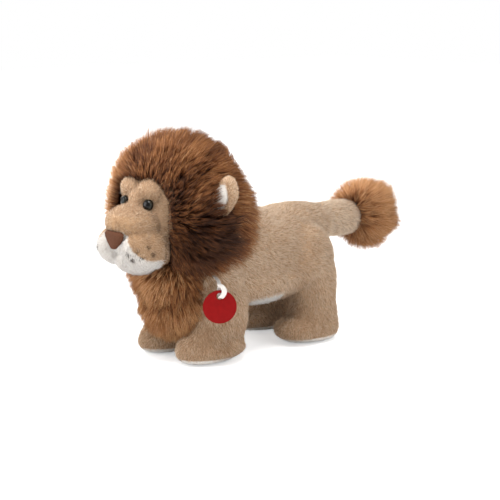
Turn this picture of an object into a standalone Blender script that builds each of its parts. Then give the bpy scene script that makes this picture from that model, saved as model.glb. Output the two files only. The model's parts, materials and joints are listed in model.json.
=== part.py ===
"""A standing plush lion: stuffed covers, fur panels, safety eyes and a hang tag on a ribbon.

Metres, +Z up. The lion looks along -Y and its left side is at +X. It stands on its four soles at Z = 0.
"""
import math

import bmesh
import bpy
from mathutils import Matrix, Vector

# Fit and fabric
GAP = 0.0003
WALL = 0.0025
OVERRUN = 0.004
ROOT_ROOM = 0.0006
MANE_ROOM = 0.0015

# Body
BODY_LENGTH = 0.180
BODY_WIDTH = 0.098
BODY_HEIGHT = 0.0775
BODY_CLEARANCE = 0.049
BODY_BEHIND_SHOULDERS = 0.056
BELLY_SEAM_RISE = 0.009

# Legs
SHOULDER_HEIGHT = 0.060
SHOULDER_RADIUS = 0.023
SHOULDER_SPREAD = 0.0275
HIP_HEIGHT = 0.064
HIP_RADIUS = 0.0225
HIP_SPREAD = 0.0315
WHEELBASE = 0.118
FRONT_LEG_WIDTH = 0.042
HIND_LEG_WIDTH = 0.043
FRONT_PAW_WIDTH = 0.046
FRONT_PAW_LENGTH = 0.062
FRONT_PAW_FORWARD = 0.009
HIND_PAW_WIDTH = 0.044
HIND_PAW_LENGTH = 0.062
HIND_PAW_FORWARD = 0.003
SOLE_MARGIN = 0.0045
STUFFING_MOUTH_RADIUS = 0.009
LEG_SWING = math.radians(10)

# Head
HEAD_RADIUS = 0.050
FACE_DEPTH = 0.045
HEAD_HEIGHT = 0.132
HEAD_AHEAD_OF_SHOULDERS = 0.018
HEAD_TURN = math.radians(12)
NECK_OPENING_RADIUS = 0.015
MUZZLE_WIDTH = 0.074
MUZZLE_LENGTH = 0.050
MUZZLE_HEIGHT = 0.056
MUZZLE_AHEAD = 0.043
MUZZLE_DROP = 0.025
NOSE_WIDTH = 0.023
NOSE_HEIGHT = 0.014
NOSE_DEPTH = 0.006
NOSE_RISE = 0.0065

# Eyes
EYE_DIAMETER = 0.009
EYE_DOME = 0.0032
EYE_SPACING = 0.0316
EYE_RISE = 0.011
SHANK_DIAMETER = 0.0032
SHANK_LENGTH = 0.0085
WASHER_DIAMETER = 0.011
WASHER_THICKNESS = 0.0012

# Mane and ruff
FRONT_MANE_WIDTH = 0.144
FRONT_MANE_HEIGHT = 0.135
FRONT_MANE_DEPTH = 0.076
FRONT_MANE_AHEAD = 0.008
MANE_LEAN_SHARE = 0.23
FACE_WINDOW_WIDTH = 0.082
FACE_WINDOW_HEIGHT = 0.084
FACE_WINDOW_DROP = 0.011
REAR_MANE_WIDTH = 0.120
REAR_MANE_HEIGHT = 0.122
REAR_MANE_DEPTH = 0.100
REAR_MANE_BEHIND = 0.028
REAR_MANE_DROP = 0.008
RUFF_TOP = 0.074
RUFF_BOTTOM = 0.022
RUFF_WIDTH = 0.070
RUFF_DEPTH = 0.026
RUFF_AHEAD = 0.036

# Ears
EAR_HEIGHT = 0.038
EAR_WIDTH = 0.031
EAR_THICKNESS = 0.007
EAR_LINING_MARGIN = 0.005
EAR_LINING_DEPTH = 0.0024
EAR_LIFT = math.radians(9)
EAR_BACK = math.radians(6)
EAR_SLANT = math.radians(50)
EAR_FOLD_FORWARD = math.radians(18)
EAR_FOLD_BACK = math.radians(8)

# Tail
TAIL_ROOT_HEIGHT = 0.1055
TAIL_ROOT_INSET = 0.005
TAIL_SEAT_RADIUS = 0.017
TAIL_DIAMETER = 0.037
TAIL_LENGTH = 0.056
TAIL_DROOP = 0.001
TAIL_WAG = math.radians(20)
TUFT_WIDTH = 0.060
TUFT_LENGTH = 0.070
TUFT_HEIGHT = 0.066
TUFT_OVERLAP = 0.006

# Hang tag
RIBBON_WIDTH = 0.004
RIBBON_PINCH_WIDTH = 0.003
RIBBON_THICKNESS = 0.0005
RIBBON_DROP = 0.0125
RIBBON_REACH = 0.026
RIBBON_LOOP_RADIUS = 0.0026
RIBBON_SEAM_HEIGHT = 0.083
RIBBON_SEAM_AHEAD = 0.0055
RIBBON_LIFT = math.radians(20)
TAG_FACING = math.radians(55)
TAG_DIAMETER = 0.029
TAG_THICKNESS = 0.0012
TAG_HOLE_RADIUS = 0.003
TAG_HOLE_MARGIN = 0.0022

# Facets
BODY_SIDES = 18
BODY_STEPS = 12
LEG_SIDES = 14
DOME_STEPS = 4
SMALL_SIDES = 12
SEAT_SIDES = 36
SEAT_STEPS = 24
HULL_SMOOTHING = math.radians(5)

# Shares: a height up the leg and how much of the paw is left there
PAW_SHARES = ((0.0, 0.80), (0.03, 0.94), (0.10, 1.0), (0.22, 0.96), (0.34, 0.66), (0.46, 0.26), (0.60, 0.06), (0.80, 0.0))
SWEPT_LEG_SHARE = 0.45
BODY_FULLNESS = 0.5
CHEST_TAPER_SHARE = 0.92
EAR_BASE_SHARE = 0.62
NOSE_SHARES = ((0.0, 0.12), (0.12, 0.35), (0.45, 0.72), (0.75, 0.96), (0.9, 1.0), (1.0, 0.82))
RUFF_SHARES = ((0.0, 0.10), (0.12, 0.32), (0.35, 0.62), (0.65, 0.88), (0.9, 1.0), (1.0, 0.94))

# Colours
BEIGE = (0.62, 0.43, 0.28)
WHITE = (0.84, 0.81, 0.76)
BROWN = (0.26, 0.12, 0.055)
FIBRE = (0.88, 0.88, 0.86)
NOSE_BROWN = (0.14, 0.06, 0.035)
EYE_GREEN = (0.16, 0.20, 0.12)
WASHER_WHITE = (0.75, 0.75, 0.73)
SATIN = (0.86, 0.85, 0.83)
TAG_RED = (0.52, 0.012, 0.012)

# Places that follow from the sizes
SHOULDER_Y = -WHEELBASE / 2
HIP_Y = WHEELBASE / 2
BODY_CENTRE = Vector((0, SHOULDER_Y + BODY_BEHIND_SHOULDERS, BODY_CLEARANCE + BODY_HEIGHT / 2))
HEAD_CENTRE = Vector((0, SHOULDER_Y - HEAD_AHEAD_OF_SHOULDERS, HEAD_HEIGHT))
MUZZLE_CENTRE = HEAD_CENTRE + Vector((0, -MUZZLE_AHEAD, -MUZZLE_DROP))
FRONT_MANE_CENTRE = HEAD_CENTRE + Vector((0, -FRONT_MANE_AHEAD, 0))
REAR_MANE_CENTRE = HEAD_CENTRE + Vector((0, REAR_MANE_BEHIND, -REAR_MANE_DROP))
RUMP_Y = BODY_CENTRE.y + BODY_LENGTH / 2
TAIL_ROOT = Vector((0, RUMP_Y - TAIL_ROOT_INSET, TAIL_ROOT_HEIGHT))
TAIL_END_Y = TAIL_ROOT.y + TAIL_LENGTH
TUFT_CENTRE = Vector((0, TAIL_END_Y - TUFT_OVERLAP + TUFT_LENGTH / 2, TAIL_ROOT_HEIGHT - TAIL_DROOP))
BELLY_SEAM_Z = BODY_CLEARANCE + BELLY_SEAM_RISE
NOSE_SLOPE = MUZZLE_LENGTH / 2 * math.sqrt(1 - (NOSE_RISE / (MUZZLE_HEIGHT / 2)) ** 2)
NOSE_CENTRE = MUZZLE_CENTRE + Vector((0, -NOSE_SLOPE, NOSE_RISE))
FRONT_Y = NOSE_CENTRE.y - NOSE_DEPTH / 2
BACK_Y = TUFT_CENTRE.y + TUFT_LENGTH / 2
FRAME_CENTRE_Y = (FRONT_Y + BACK_Y) / 2


# Scene helpers

def clear_scene():
    for item in list(bpy.data.objects):
        bpy.data.objects.remove(item, do_unlink=True)


def material(name, colour, roughness):
    made = bpy.data.materials.new(name)
    made.use_nodes = True
    shader = made.node_tree.nodes["Principled BSDF"]
    shader.inputs["Base Color"].default_value = (*colour, 1)
    shader.inputs["Roughness"].default_value = roughness
    shader.inputs["Metallic"].default_value = 0
    return made


def joint_empty(name, place, parent):
    """An empty on a joint's axis; what moves there is parented to it."""
    empty = bpy.data.objects.new(name, None)
    bpy.context.collection.objects.link(empty)
    empty.parent = parent
    empty["place"] = tuple(place)
    empty.location = Vector(place) - Vector(parent["place"] if parent else (0, FRAME_CENTRE_Y, 0))
    return empty


def piece(name, bm, joint, look):
    """Make an object from a mesh in the lion's own coordinates, carried by the joint."""
    bm.transform(Matrix.Translation(-Vector(joint["place"])))
    mesh = bpy.data.meshes.new(name)
    bm.to_mesh(mesh)
    bm.free()
    made = bpy.data.objects.new(name, mesh)
    bpy.context.collection.objects.link(made)
    made.parent = joint
    if look:
        mesh.materials.append(look)
    mesh.shade_smooth()
    mesh.set_sharp_from_angle(angle=math.radians(40))
    return made


def cutter(name, bm, joint):
    made = piece(name, bm, joint, None)
    made.hide_render = True
    made.display_type = "WIRE"
    return made


def cut(made, *cutters):
    for tool in cutters:
        modifier = made.modifiers.new("Cut by " + tool.name, "BOOLEAN")
        modifier.operation = "DIFFERENCE"
        modifier.object = tool
    return made


# Rings and skins

def ring(centre, across, along, half_across, half_along, sides):
    points = []
    for step in range(sides):
        turn = math.tau * step / sides
        points.append(centre + across * (half_across * math.cos(turn)) + along * (half_along * math.sin(turn)))
    return points


def split_square(bm, a, b, c, d):
    """Two triangles along the shorter diagonal, so that nested surfaces bend alike."""
    if (a.co - c.co).length <= (b.co - d.co).length:
        return [bm.faces.new((a, b, c)), bm.faces.new((a, c, d))]
    return [bm.faces.new((a, b, d)), bm.faces.new((b, c, d))]


def add_skin(bm, rings, looped=False, inside_out=False):
    """Join rings into a closed surface; a ring of one point is a pole."""
    rows = [[bm.verts.new(point) for point in points] for points in rings]
    pairs = list(zip(rows, rows[1:]))
    if looped:
        pairs.append((rows[-1], rows[0]))
    faces = []
    for low, high in pairs:
        sides = max(len(low), len(high))
        for step in range(sides):
            after = (step + 1) % sides
            if len(low) == 1:
                faces.append(bm.faces.new((low[0], high[after], high[step])))
            elif len(high) == 1:
                faces.append(bm.faces.new((low[step], low[after], high[0])))
            else:
                faces.extend(split_square(bm, low[step], low[after], high[after], high[step]))
    if not looped:
        if len(rows[0]) > 1:
            faces.append(bm.faces.new(rows[0][::-1]))
        if len(rows[-1]) > 1:
            faces.append(bm.faces.new(rows[-1]))
    bmesh.ops.recalc_face_normals(bm, faces=faces)
    if inside_out:
        bmesh.ops.reverse_faces(bm, faces=faces)


def solid(rings, looped=False):
    bm = bmesh.new()
    add_skin(bm, rings, looped)
    return bm


def hollow(outer, inner):
    """A closed wall between two surfaces, which later cuts open up."""
    bm = bmesh.new()
    add_skin(bm, outer)
    add_skin(bm, inner, inside_out=True)
    return bm


def hull(points):
    """A closed skin stretched over points, with its nearly flat neighbours joined."""
    bm = bmesh.new()
    corners = [bm.verts.new(point) for point in points]
    found = bmesh.ops.convex_hull(bm, input=corners)
    spare = {item for item in found["geom_interior"] + found["geom_unused"] if isinstance(item, bmesh.types.BMVert)}
    bmesh.ops.delete(bm, geom=list(spare), context="VERTS")
    bmesh.ops.dissolve_limit(bm, angle_limit=HULL_SMOOTHING, verts=bm.verts[:], edges=bm.edges[:])
    bmesh.ops.recalc_face_normals(bm, faces=bm.faces[:])
    return bm


def swept_hull(rings, pivot, axis, low, high, steps=2):
    """The hull of a form at turns from one limit of its joint to the other."""
    points = []
    for step in range(steps + 1):
        turn = Matrix.Rotation(low + (high - low) * step / steps, 3, axis)
        for points_in_ring in rings:
            points.extend(pivot + turn @ (point - pivot) for point in points_in_ring)
    return hull(points)


def box(low, high):
    bm = bmesh.new()
    bmesh.ops.create_cube(bm, size=1)
    size = Vector(high) - Vector(low)
    for vert in bm.verts:
        vert.co = Vector(low) + Vector(((vert.co[i] + 1 / 2) * size[i] for i in range(3)))
    return bm


def egg(centre, half_x, front_y, back_y, half_z, steps, sides, lean_share=0):
    """Rings of an egg whose poles lie along Y, with its own depth to the front and to the back."""
    rings = []
    for step in range(steps + 1):
        turn = math.pi * step / steps
        depth = front_y if turn < math.pi / 2 else back_y
        place = centre + Vector((0, -depth * math.cos(turn), 0))
        if step in (0, steps):
            rings.append([place])
            continue
        swell = math.sin(turn)
        points = ring(place, Vector((1, 0, 0)), Vector((0, 0, 1)), half_x * swell, half_z * swell, sides)
        for point in points:
            point.y += lean_share * (point.z - centre.z)
        rings.append(points)
    return rings


# Body

def body_rings(grow=0):
    half = BODY_LENGTH / 2 + grow
    rings = []
    for step in range(BODY_STEPS + 1):
        turn = math.pi * step / BODY_STEPS
        place = BODY_CENTRE + Vector((0, -half * math.cos(turn), 0))
        if step in (0, BODY_STEPS):
            rings.append([place])
            continue
        swell = math.sin(turn) ** BODY_FULLNESS
        taper = CHEST_TAPER_SHARE + (1 - CHEST_TAPER_SHARE) * step / BODY_STEPS
        half_x = (BODY_WIDTH / 2 + grow) * swell * taper
        half_z = (BODY_HEIGHT / 2 + grow) * swell
        rings.append(ring(place, Vector((1, 0, 0)), Vector((0, 0, 1)), half_x, half_z, BODY_SIDES))
    return rings


def belly_seam_tool(name, root, below, shift):
    """A block on one side of the belly seam."""
    reach = BODY_WIDTH
    low = Vector((-reach, BODY_CENTRE.y - BODY_LENGTH, BELLY_SEAM_Z + shift))
    high = Vector((reach, BODY_CENTRE.y + BODY_LENGTH, BELLY_SEAM_Z + shift))
    if below:
        low.z -= BODY_HEIGHT
    else:
        high.z += BODY_HEIGHT
    return cutter(name, box(low, high), root)


def make_body(root, looks, moving_tools):
    cover = piece("body_cover", hollow(body_rings(), body_rings(-WALL)), root, looks["beige"])
    panel = piece("belly_panel", hollow(body_rings(), body_rings(-WALL)), root, looks["white"])
    filling = piece("body_stuffing", solid(body_rings(-WALL - GAP)), root, looks["fibre"])
    cut(cover, belly_seam_tool("belly_seam_below", root, True, 0), *moving_tools)
    cut(panel, belly_seam_tool("belly_seam_above", root, False, -GAP), *moving_tools)
    cut(filling, *moving_tools)


# Legs

class Leg:
    def __init__(self, name, side, front):
        self.name = name
        self.height = SHOULDER_HEIGHT if front else HIP_HEIGHT
        self.radius = SHOULDER_RADIUS if front else HIP_RADIUS
        spread = SHOULDER_SPREAD if front else HIP_SPREAD
        self.half_leg = (FRONT_LEG_WIDTH if front else HIND_LEG_WIDTH) / 2
        self.half_paw = (FRONT_PAW_WIDTH if front else HIND_PAW_WIDTH) / 2
        self.half_length = (FRONT_PAW_LENGTH if front else HIND_PAW_LENGTH) / 2
        self.forward = FRONT_PAW_FORWARD if front else HIND_PAW_FORWARD
        self.centre = Vector((side * spread, SHOULDER_Y if front else HIP_Y, self.height))

    def level(self, height, paw_share, grow):
        """One ring of the leg at a height, with its share of the paw."""
        rise = height / self.height
        thick = self.half_leg + (self.radius - self.half_leg) * rise * rise
        half_x = thick + (self.half_paw - thick) * paw_share + grow
        half_y = thick + (self.half_length - thick) * paw_share + grow
        place = Vector((self.centre.x, self.centre.y - self.forward * min(paw_share, 1), height))
        return ring(place, Vector((1, 0, 0)), Vector((0, 1, 0)), half_x, half_y, LEG_SIDES)

    def column(self, grow, floor=0.0, from_share=0.0):
        """The rings from the floor of the form up to its root ball."""
        rings = [] if from_share else [self.level(floor, PAW_SHARES[0][1], grow)]
        for share, paw_share in PAW_SHARES[1:]:
            if share >= from_share and share * self.height > floor:
                rings.append(self.level(share * self.height, paw_share, grow))
        return rings

    def dome(self, grow, mouth_radius=0.0):
        """The rings of the root ball from its middle to its top, or to the mouth in it."""
        radius = self.radius + grow
        end = math.acos(mouth_radius / radius)
        rings = []
        for step in range(DOME_STEPS + 1):
            turn = end * step / DOME_STEPS
            place = self.centre + Vector((0, 0, radius * math.sin(turn)))
            if step == DOME_STEPS and not mouth_radius:
                rings.append([place])
            else:
                reach = radius * math.cos(turn)
                rings.append(ring(place, Vector((1, 0, 0)), Vector((0, 1, 0)), reach, reach, LEG_SIDES))
        return rings

    def sole_ring(self, height, margin):
        return self.level(height, PAW_SHARES[0][1], -margin)


def make_leg(leg, root, looks):
    joint = joint_empty(leg.name + "_joint", leg.centre, root)
    outer = [leg.sole_ring(0, SOLE_MARGIN)] + leg.column(0) + leg.dome(0, STUFFING_MOUTH_RADIUS)
    inner = [leg.sole_ring(WALL, SOLE_MARGIN)] + leg.column(-WALL, WALL) + leg.dome(-WALL, STUFFING_MOUTH_RADIUS)
    piece(leg.name + "_cover", solid(outer + inner[::-1], looped=True), joint, looks["beige"])
    filling = leg.column(-WALL - GAP, WALL + GAP) + leg.dome(-WALL - GAP)
    piece(leg.name + "_stuffing", solid(filling), joint, looks["fibre"])
    sole = [leg.sole_ring(height, SOLE_MARGIN + GAP) for height in (0, WALL)]
    piece(leg.name + "_sole", solid(sole), joint, looks["white"])


def leg_tool(leg, root):
    """What the swinging leg needs clear in the body."""
    rings = leg.column(ROOT_ROOM, from_share=SWEPT_LEG_SHARE) + leg.dome(ROOT_ROOM)
    return cutter(leg.name + "_clearance", swept_hull(rings, leg.centre, "X", -LEG_SWING, LEG_SWING), root)


# Head

def head_rings(grow=0):
    radius = HEAD_RADIUS + grow
    return egg(HEAD_CENTRE, radius, FACE_DEPTH + grow, radius, radius, BODY_STEPS, BODY_SIDES)


def muzzle_rings(grow=0):
    half = (MUZZLE_WIDTH / 2 + grow, MUZZLE_LENGTH / 2 + grow, MUZZLE_HEIGHT / 2 + grow)
    return egg(MUZZLE_CENTRE, half[0], half[1], half[1], half[2], BODY_STEPS - 2, BODY_SIDES - 2)


def front_mane_rings(grow=0):
    half_y = FRONT_MANE_DEPTH / 2 + grow
    return egg(FRONT_MANE_CENTRE, FRONT_MANE_WIDTH / 2 + grow, half_y, half_y, FRONT_MANE_HEIGHT / 2 + grow,
               BODY_STEPS - 2, BODY_SIDES, MANE_LEAN_SHARE)


def round_tool(name, joint, start, end, radius, sides=SMALL_SIDES):
    """A round bar between two points, whose flats clear the radius."""
    start = Vector(start)
    end = Vector(end)
    turned = (end - start).to_track_quat("Z", "Y").to_matrix()
    reach = radius / math.cos(math.pi / sides)
    rings = [ring(place, turned.col[0], turned.col[1], reach, reach, sides) for place in (start, end)]
    return cutter(name, solid(rings), joint)


def face_window_rings():
    """An oval bar along Y through the front mane, where the face shows."""
    centre = HEAD_CENTRE - Vector((0, 0, FACE_WINDOW_DROP))
    rings = []
    for reach in (0, FACE_DEPTH + FRONT_MANE_DEPTH):
        place = centre - Vector((0, reach, 0))
        rings.append(ring(place, Vector((1, 0, 0)), Vector((0, 0, 1)),
                          FACE_WINDOW_WIDTH / 2, FACE_WINDOW_HEIGHT / 2, BODY_SIDES))
    return rings


def turned_piece(name, profile, frame, joint, look, sides=SMALL_SIDES):
    """Spin a profile of (radius, height) points about the frame's own Z axis."""
    rings = []
    for radius, height in profile:
        place = frame @ Vector((0, 0, height))
        if radius:
            rings.append(ring(place, frame.to_3x3().col[0], frame.to_3x3().col[1], radius, radius, sides))
        else:
            rings.append([place])
    return piece(name, solid(rings), joint, look)


def eye_frame(side):
    """The eye's place on the face, with Z along the face's outward normal."""
    offset = Vector((side * EYE_SPACING / 2, 0, EYE_RISE))
    left_over = 1 - (offset.x ** 2 + offset.z ** 2) / HEAD_RADIUS ** 2
    offset.y = -FACE_DEPTH * math.sqrt(left_over)
    normal = Vector((offset.x / HEAD_RADIUS ** 2, offset.y / FACE_DEPTH ** 2, offset.z / HEAD_RADIUS ** 2)).normalized()
    turned = normal.to_track_quat("Z", "Y").to_matrix().to_4x4()
    return Matrix.Translation(HEAD_CENTRE + offset) @ turned


def make_eye(name, side, head, looks):
    frame = eye_frame(side)
    half_eye = EYE_DIAMETER / 2
    half_shank = SHANK_DIAMETER / 2
    seat = GAP
    profile = [(0, -SHANK_LENGTH), (half_shank, -SHANK_LENGTH), (half_shank, seat), (half_eye, seat)]
    for step in range(1, DOME_STEPS + 1):
        turn = math.pi / 2 * step / DOME_STEPS
        radius = half_eye * math.cos(turn) if step < DOME_STEPS else 0
        profile.append((radius, seat + EYE_DOME * math.sin(turn)))
    turned_piece("eye_" + name, profile, frame, head, looks["eye"])
    washer_top = -WALL
    inner = half_shank + GAP
    outer = WASHER_DIAMETER / 2
    corners = ((inner, washer_top), (outer, washer_top), (outer, washer_top - WASHER_THICKNESS),
               (inner, washer_top - WASHER_THICKNESS))
    rings = []
    for radius, height in corners:
        place = frame @ Vector((0, 0, height))
        rings.append(ring(place, frame.to_3x3().col[0], frame.to_3x3().col[1], radius, radius, SMALL_SIDES))
    piece("eye_washer_" + name, solid(rings, looped=True), head, looks["washer"])
    hole = round_tool("eye_hole_" + name, head, frame @ Vector((0, 0, -WALL - OVERRUN)),
                      frame @ Vector((0, 0, OVERRUN)), half_shank + GAP)
    pocket = round_tool("eye_pocket_" + name, head, frame @ Vector((0, 0, -SHANK_LENGTH - GAP)),
                        frame @ Vector((0, 0, washer_top + GAP)), outer + GAP)
    return [hole, pocket]


def make_head(head, looks, ear_tools):
    eye_tools = make_eye("left", 1, head, looks) + make_eye("right", -1, head, looks)
    below = HEAD_CENTRE - Vector((0, 0, HEAD_RADIUS + OVERRUN))
    neck = round_tool("neck_opening", head, below, below + Vector((0, 0, 2 * OVERRUN + WALL)), NECK_OPENING_RADIUS)
    cover = piece("head_cover", hollow(head_rings(), head_rings(-WALL)), head, looks["beige"])
    cut(cover, neck, *eye_tools)
    filling = piece("head_stuffing", solid(head_rings(-WALL - GAP)), head, looks["fibre"])
    cut(filling, *eye_tools)

    skull = cutter("head_clearance", solid(head_rings(GAP)), head)
    snout = cutter("muzzle_clearance", solid(muzzle_rings(GAP)), head)
    window = cutter("face_window", solid(face_window_rings()), head)
    cut(piece("muzzle_cover", hollow(muzzle_rings(), muzzle_rings(-WALL)), head, looks["white"]), skull)
    cut(piece("muzzle_stuffing", solid(muzzle_rings(-WALL - GAP)), head, looks["fibre"]), skull)
    mane = piece("front_mane", solid(front_mane_rings()), head, looks["brown"])
    cut(mane, skull, window, snout, *tag_tools("front_mane", head), *ear_tools)
    make_nose(head, looks, snout)


def make_nose(head, looks, snout):
    """A soft triangle, broad above and narrow below, seated on the muzzle."""
    rings = []
    for share, width_share in NOSE_SHARES:
        centre = NOSE_CENTRE + Vector((0, 0, NOSE_HEIGHT * (share - 1 / 2)))
        half_y = NOSE_DEPTH / 2 * min(1, 2 * width_share)
        rings.append(ring(centre, Vector((1, 0, 0)), Vector((0, 1, 0)), NOSE_WIDTH / 2 * width_share, half_y, SMALL_SIDES))
    cut(piece("nose", solid(rings), head, looks["nose"]), snout)


# Ears

class Ear:
    def __init__(self, name, side):
        self.name = name
        outward = Vector((side * math.cos(EAR_LIFT), math.sin(EAR_BACK), math.sin(EAR_LIFT))).normalized()
        self.up = Vector((side * math.cos(EAR_SLANT), 0, math.sin(EAR_SLANT)))
        self.across = Vector((-side * math.sin(EAR_LIFT), 0, math.cos(EAR_LIFT)))
        self.root = HEAD_CENTRE + outward * (HEAD_RADIUS + EAR_THICKNESS / 2 * self.up.dot(outward) + 2 * GAP)
        self.back = Vector((0, 1, 0))
        self.axis = self.across * side

    def rings(self, margin, half_thickness, shift=0.0):
        """Sections from the base to the tip; the base is rounded about the fold axis."""
        rings = []
        low = -EAR_THICKNESS / 2 + margin
        high = EAR_HEIGHT - EAR_THICKNESS / 2 - margin
        steps = 2 * DOME_STEPS
        for step in range(steps + 1):
            share = step / steps
            turn = math.pi * share
            place = self.root + self.up * (low + (high - low) * (1 - math.cos(turn)) / 2) + self.back * shift
            if step in (0, steps):
                rings.append([place])
                continue
            swell = math.sin(turn) ** (1 / 2)
            breadth = EAR_BASE_SHARE + (1 - EAR_BASE_SHARE) * min(share * 2, 1)
            half_x = (EAR_WIDTH / 2 - margin) * swell * breadth
            rings.append(ring(place, self.across, self.back, half_x, half_thickness * swell, SMALL_SIDES))
        return rings


def make_ear(ear, head, looks):
    joint = joint_empty(ear.name + "_joint", ear.root, head)
    front = -EAR_THICKNESS / 2
    lining = ear.rings(EAR_LINING_MARGIN, EAR_LINING_DEPTH, front + EAR_LINING_DEPTH / 2)
    room = ear.rings(EAR_LINING_MARGIN - GAP, EAR_LINING_DEPTH + GAP, front + EAR_LINING_DEPTH / 2)
    scoop = cutter(ear.name + "_lining_room", solid(room), joint)
    cut(piece(ear.name + "_back", solid(ear.rings(0, EAR_THICKNESS / 2)), joint, looks["beige"]), scoop)
    piece(ear.name + "_lining", solid(lining), joint, looks["white"])


def ear_tool(ear, head):
    rings = ear.rings(-GAP, EAR_THICKNESS / 2 + EAR_LINING_DEPTH + GAP)
    return cutter(ear.name + "_clearance", swept_hull(rings, ear.root, ear.axis, -EAR_FOLD_FORWARD, EAR_FOLD_BACK), head)


# Rear mane and chest ruff

def make_fur_panels(root, looks, moving_tools):
    half = (REAR_MANE_WIDTH / 2, REAR_MANE_DEPTH / 2, REAR_MANE_HEIGHT / 2)
    rings = egg(REAR_MANE_CENTRE, half[0], half[1], half[1], half[2], BODY_STEPS - 2, BODY_SIDES)
    trunk = cutter("body_clearance", solid(body_rings(GAP)), root)
    cut(piece("rear_mane", solid(rings), root, looks["brown"]), trunk, *tag_tools("rear_mane", root), *moving_tools)
    rings = []
    for share, width_share in RUFF_SHARES:
        place = Vector((0, SHOULDER_Y - RUFF_AHEAD, RUFF_BOTTOM + (RUFF_TOP - RUFF_BOTTOM) * share))
        depth = RUFF_DEPTH / 2 * (1 + width_share) / 2
        rings.append(ring(place, Vector((1, 0, 0)), Vector((0, 1, 0)), RUFF_WIDTH / 2 * width_share, depth, LEG_SIDES))
    cut(piece("chest_ruff", solid(rings), root, looks["brown"]), trunk, *moving_tools)


# Tail

def tail_rings(grow, mouth_radius, end_trim):
    """From the seat ball, through the tube, to its rounded end."""
    seat = TAIL_SEAT_RADIUS + grow
    tube = TAIL_DIAMETER / 2 + grow
    start = math.acos(mouth_radius / seat)
    rings = []
    for step in range(DOME_STEPS + 1):
        turn = start * (1 - step / DOME_STEPS)
        place = TAIL_ROOT - Vector((0, seat * math.sin(turn), 0))
        reach = seat * math.cos(turn)
        if reach > GAP:
            rings.append(ring(place, Vector((1, 0, 0)), Vector((0, 0, 1)), reach, reach, LEG_SIDES))
        else:
            rings.append([place])
    for step in range(1, DOME_STEPS + 1):
        share = step / DOME_STEPS
        reach = seat + (tube - seat) * min(2 * share, 1)
        if step == DOME_STEPS:
            reach -= WALL / 2
        place = TAIL_ROOT + Vector((0, (TAIL_LENGTH - end_trim) * share, -TAIL_DROOP * share * share))
        rings.append(ring(place, Vector((1, 0, 0)), Vector((0, 0, 1)), reach, reach, LEG_SIDES))
    return rings


def make_tail(root, looks):
    joint = joint_empty("tail_joint", TAIL_ROOT, root)
    outer = tail_rings(0, STUFFING_MOUTH_RADIUS, 0)
    inner = tail_rings(-WALL, STUFFING_MOUTH_RADIUS, 0)
    piece("tail_cover", solid(outer + inner[::-1], looped=True), joint, looks["beige"])
    piece("tail_stuffing", solid(tail_rings(-WALL - GAP, 0, 0)), joint, looks["fibre"])
    rings = egg(TUFT_CENTRE, TUFT_WIDTH / 2, TUFT_LENGTH / 2, TUFT_LENGTH / 2, TUFT_HEIGHT / 2,
                BODY_STEPS - 2, BODY_SIDES)
    tube = cutter("tail_clearance", solid(tail_rings(GAP, 0, -GAP)), joint)
    cut(piece("tail_tuft", solid(rings), joint, looks["brown"]), tube)


def tail_tool(root):
    return cutter("tail_sweep", swept_hull(tail_rings(ROOT_ROOM, 0, 0), TAIL_ROOT, "Z", -TAIL_WAG, TAIL_WAG), root)


# Hang tag

def body_side_x(y, z):
    """How far out the body's side is at a place along it."""
    along = (y - BODY_CENTRE.y) / (BODY_LENGTH / 2)
    swell = math.sqrt(1 - along * along) ** BODY_FULLNESS
    taper = CHEST_TAPER_SHARE + (1 - CHEST_TAPER_SHARE) * math.acos(-along) / math.pi
    height = (z - BODY_CENTRE.z) / (BODY_HEIGHT / 2 * swell)
    return BODY_WIDTH / 2 * swell * taper * math.sqrt(1 - height * height)


TAG_FRONT = Vector((math.sin(TAG_FACING), -math.cos(TAG_FACING), 0))
TAG_ACROSS = Vector((math.cos(TAG_FACING), math.sin(TAG_FACING), 0))


def ribbon_seam():
    y = SHOULDER_Y - RIBBON_SEAM_AHEAD
    return Vector((body_side_x(y, RIBBON_SEAM_HEIGHT) + 2 * RIBBON_THICKNESS, y, RIBBON_SEAM_HEIGHT))


def ribbon_loop():
    return ribbon_seam() + TAG_FRONT * RIBBON_REACH - Vector((0, 0, RIBBON_DROP))


def tag_contact():
    """Where the edge of the tag's hole rests in the loop."""
    return ribbon_loop() - Vector((0, 0, RIBBON_LOOP_RADIUS - RIBBON_THICKNESS / 2))


def tag_hole_centre():
    clear_half = RIBBON_PINCH_WIDTH / 2 + GAP
    return tag_contact() + Vector((0, 0, GAP - math.sqrt(TAG_HOLE_RADIUS ** 2 - clear_half ** 2)))


def tag_rings(grow=0):
    centre = tag_hole_centre() + Vector((0, 0, TAG_HOLE_RADIUS + TAG_HOLE_MARGIN - TAG_DIAMETER / 2))
    radius = TAG_DIAMETER / 2 + grow
    reach = TAG_THICKNESS / 2 + grow
    up = Vector((0, 0, 1))
    return [ring(centre + TAG_FRONT * side, TAG_ACROSS, up, radius, radius, 2 * BODY_SIDES) for side in (-reach, reach)]


def make_tag(root, looks):
    ribbon_joint = joint_empty("ribbon_joint", ribbon_seam(), root)
    piece("tag_ribbon", solid(ribbon_rings(), looped=True), ribbon_joint, looks["satin"])

    tag_joint = joint_empty("tag_joint", tag_contact(), ribbon_joint)
    hole = tag_hole_centre()
    tool = round_tool("tag_hole", tag_joint, hole - TAG_FRONT * OVERRUN, hole + TAG_FRONT * OVERRUN, TAG_HOLE_RADIUS,
                      2 * SMALL_SIDES)
    cut(piece("hang_tag", solid(tag_rings()), tag_joint, looks["red"]), tool)


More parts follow.
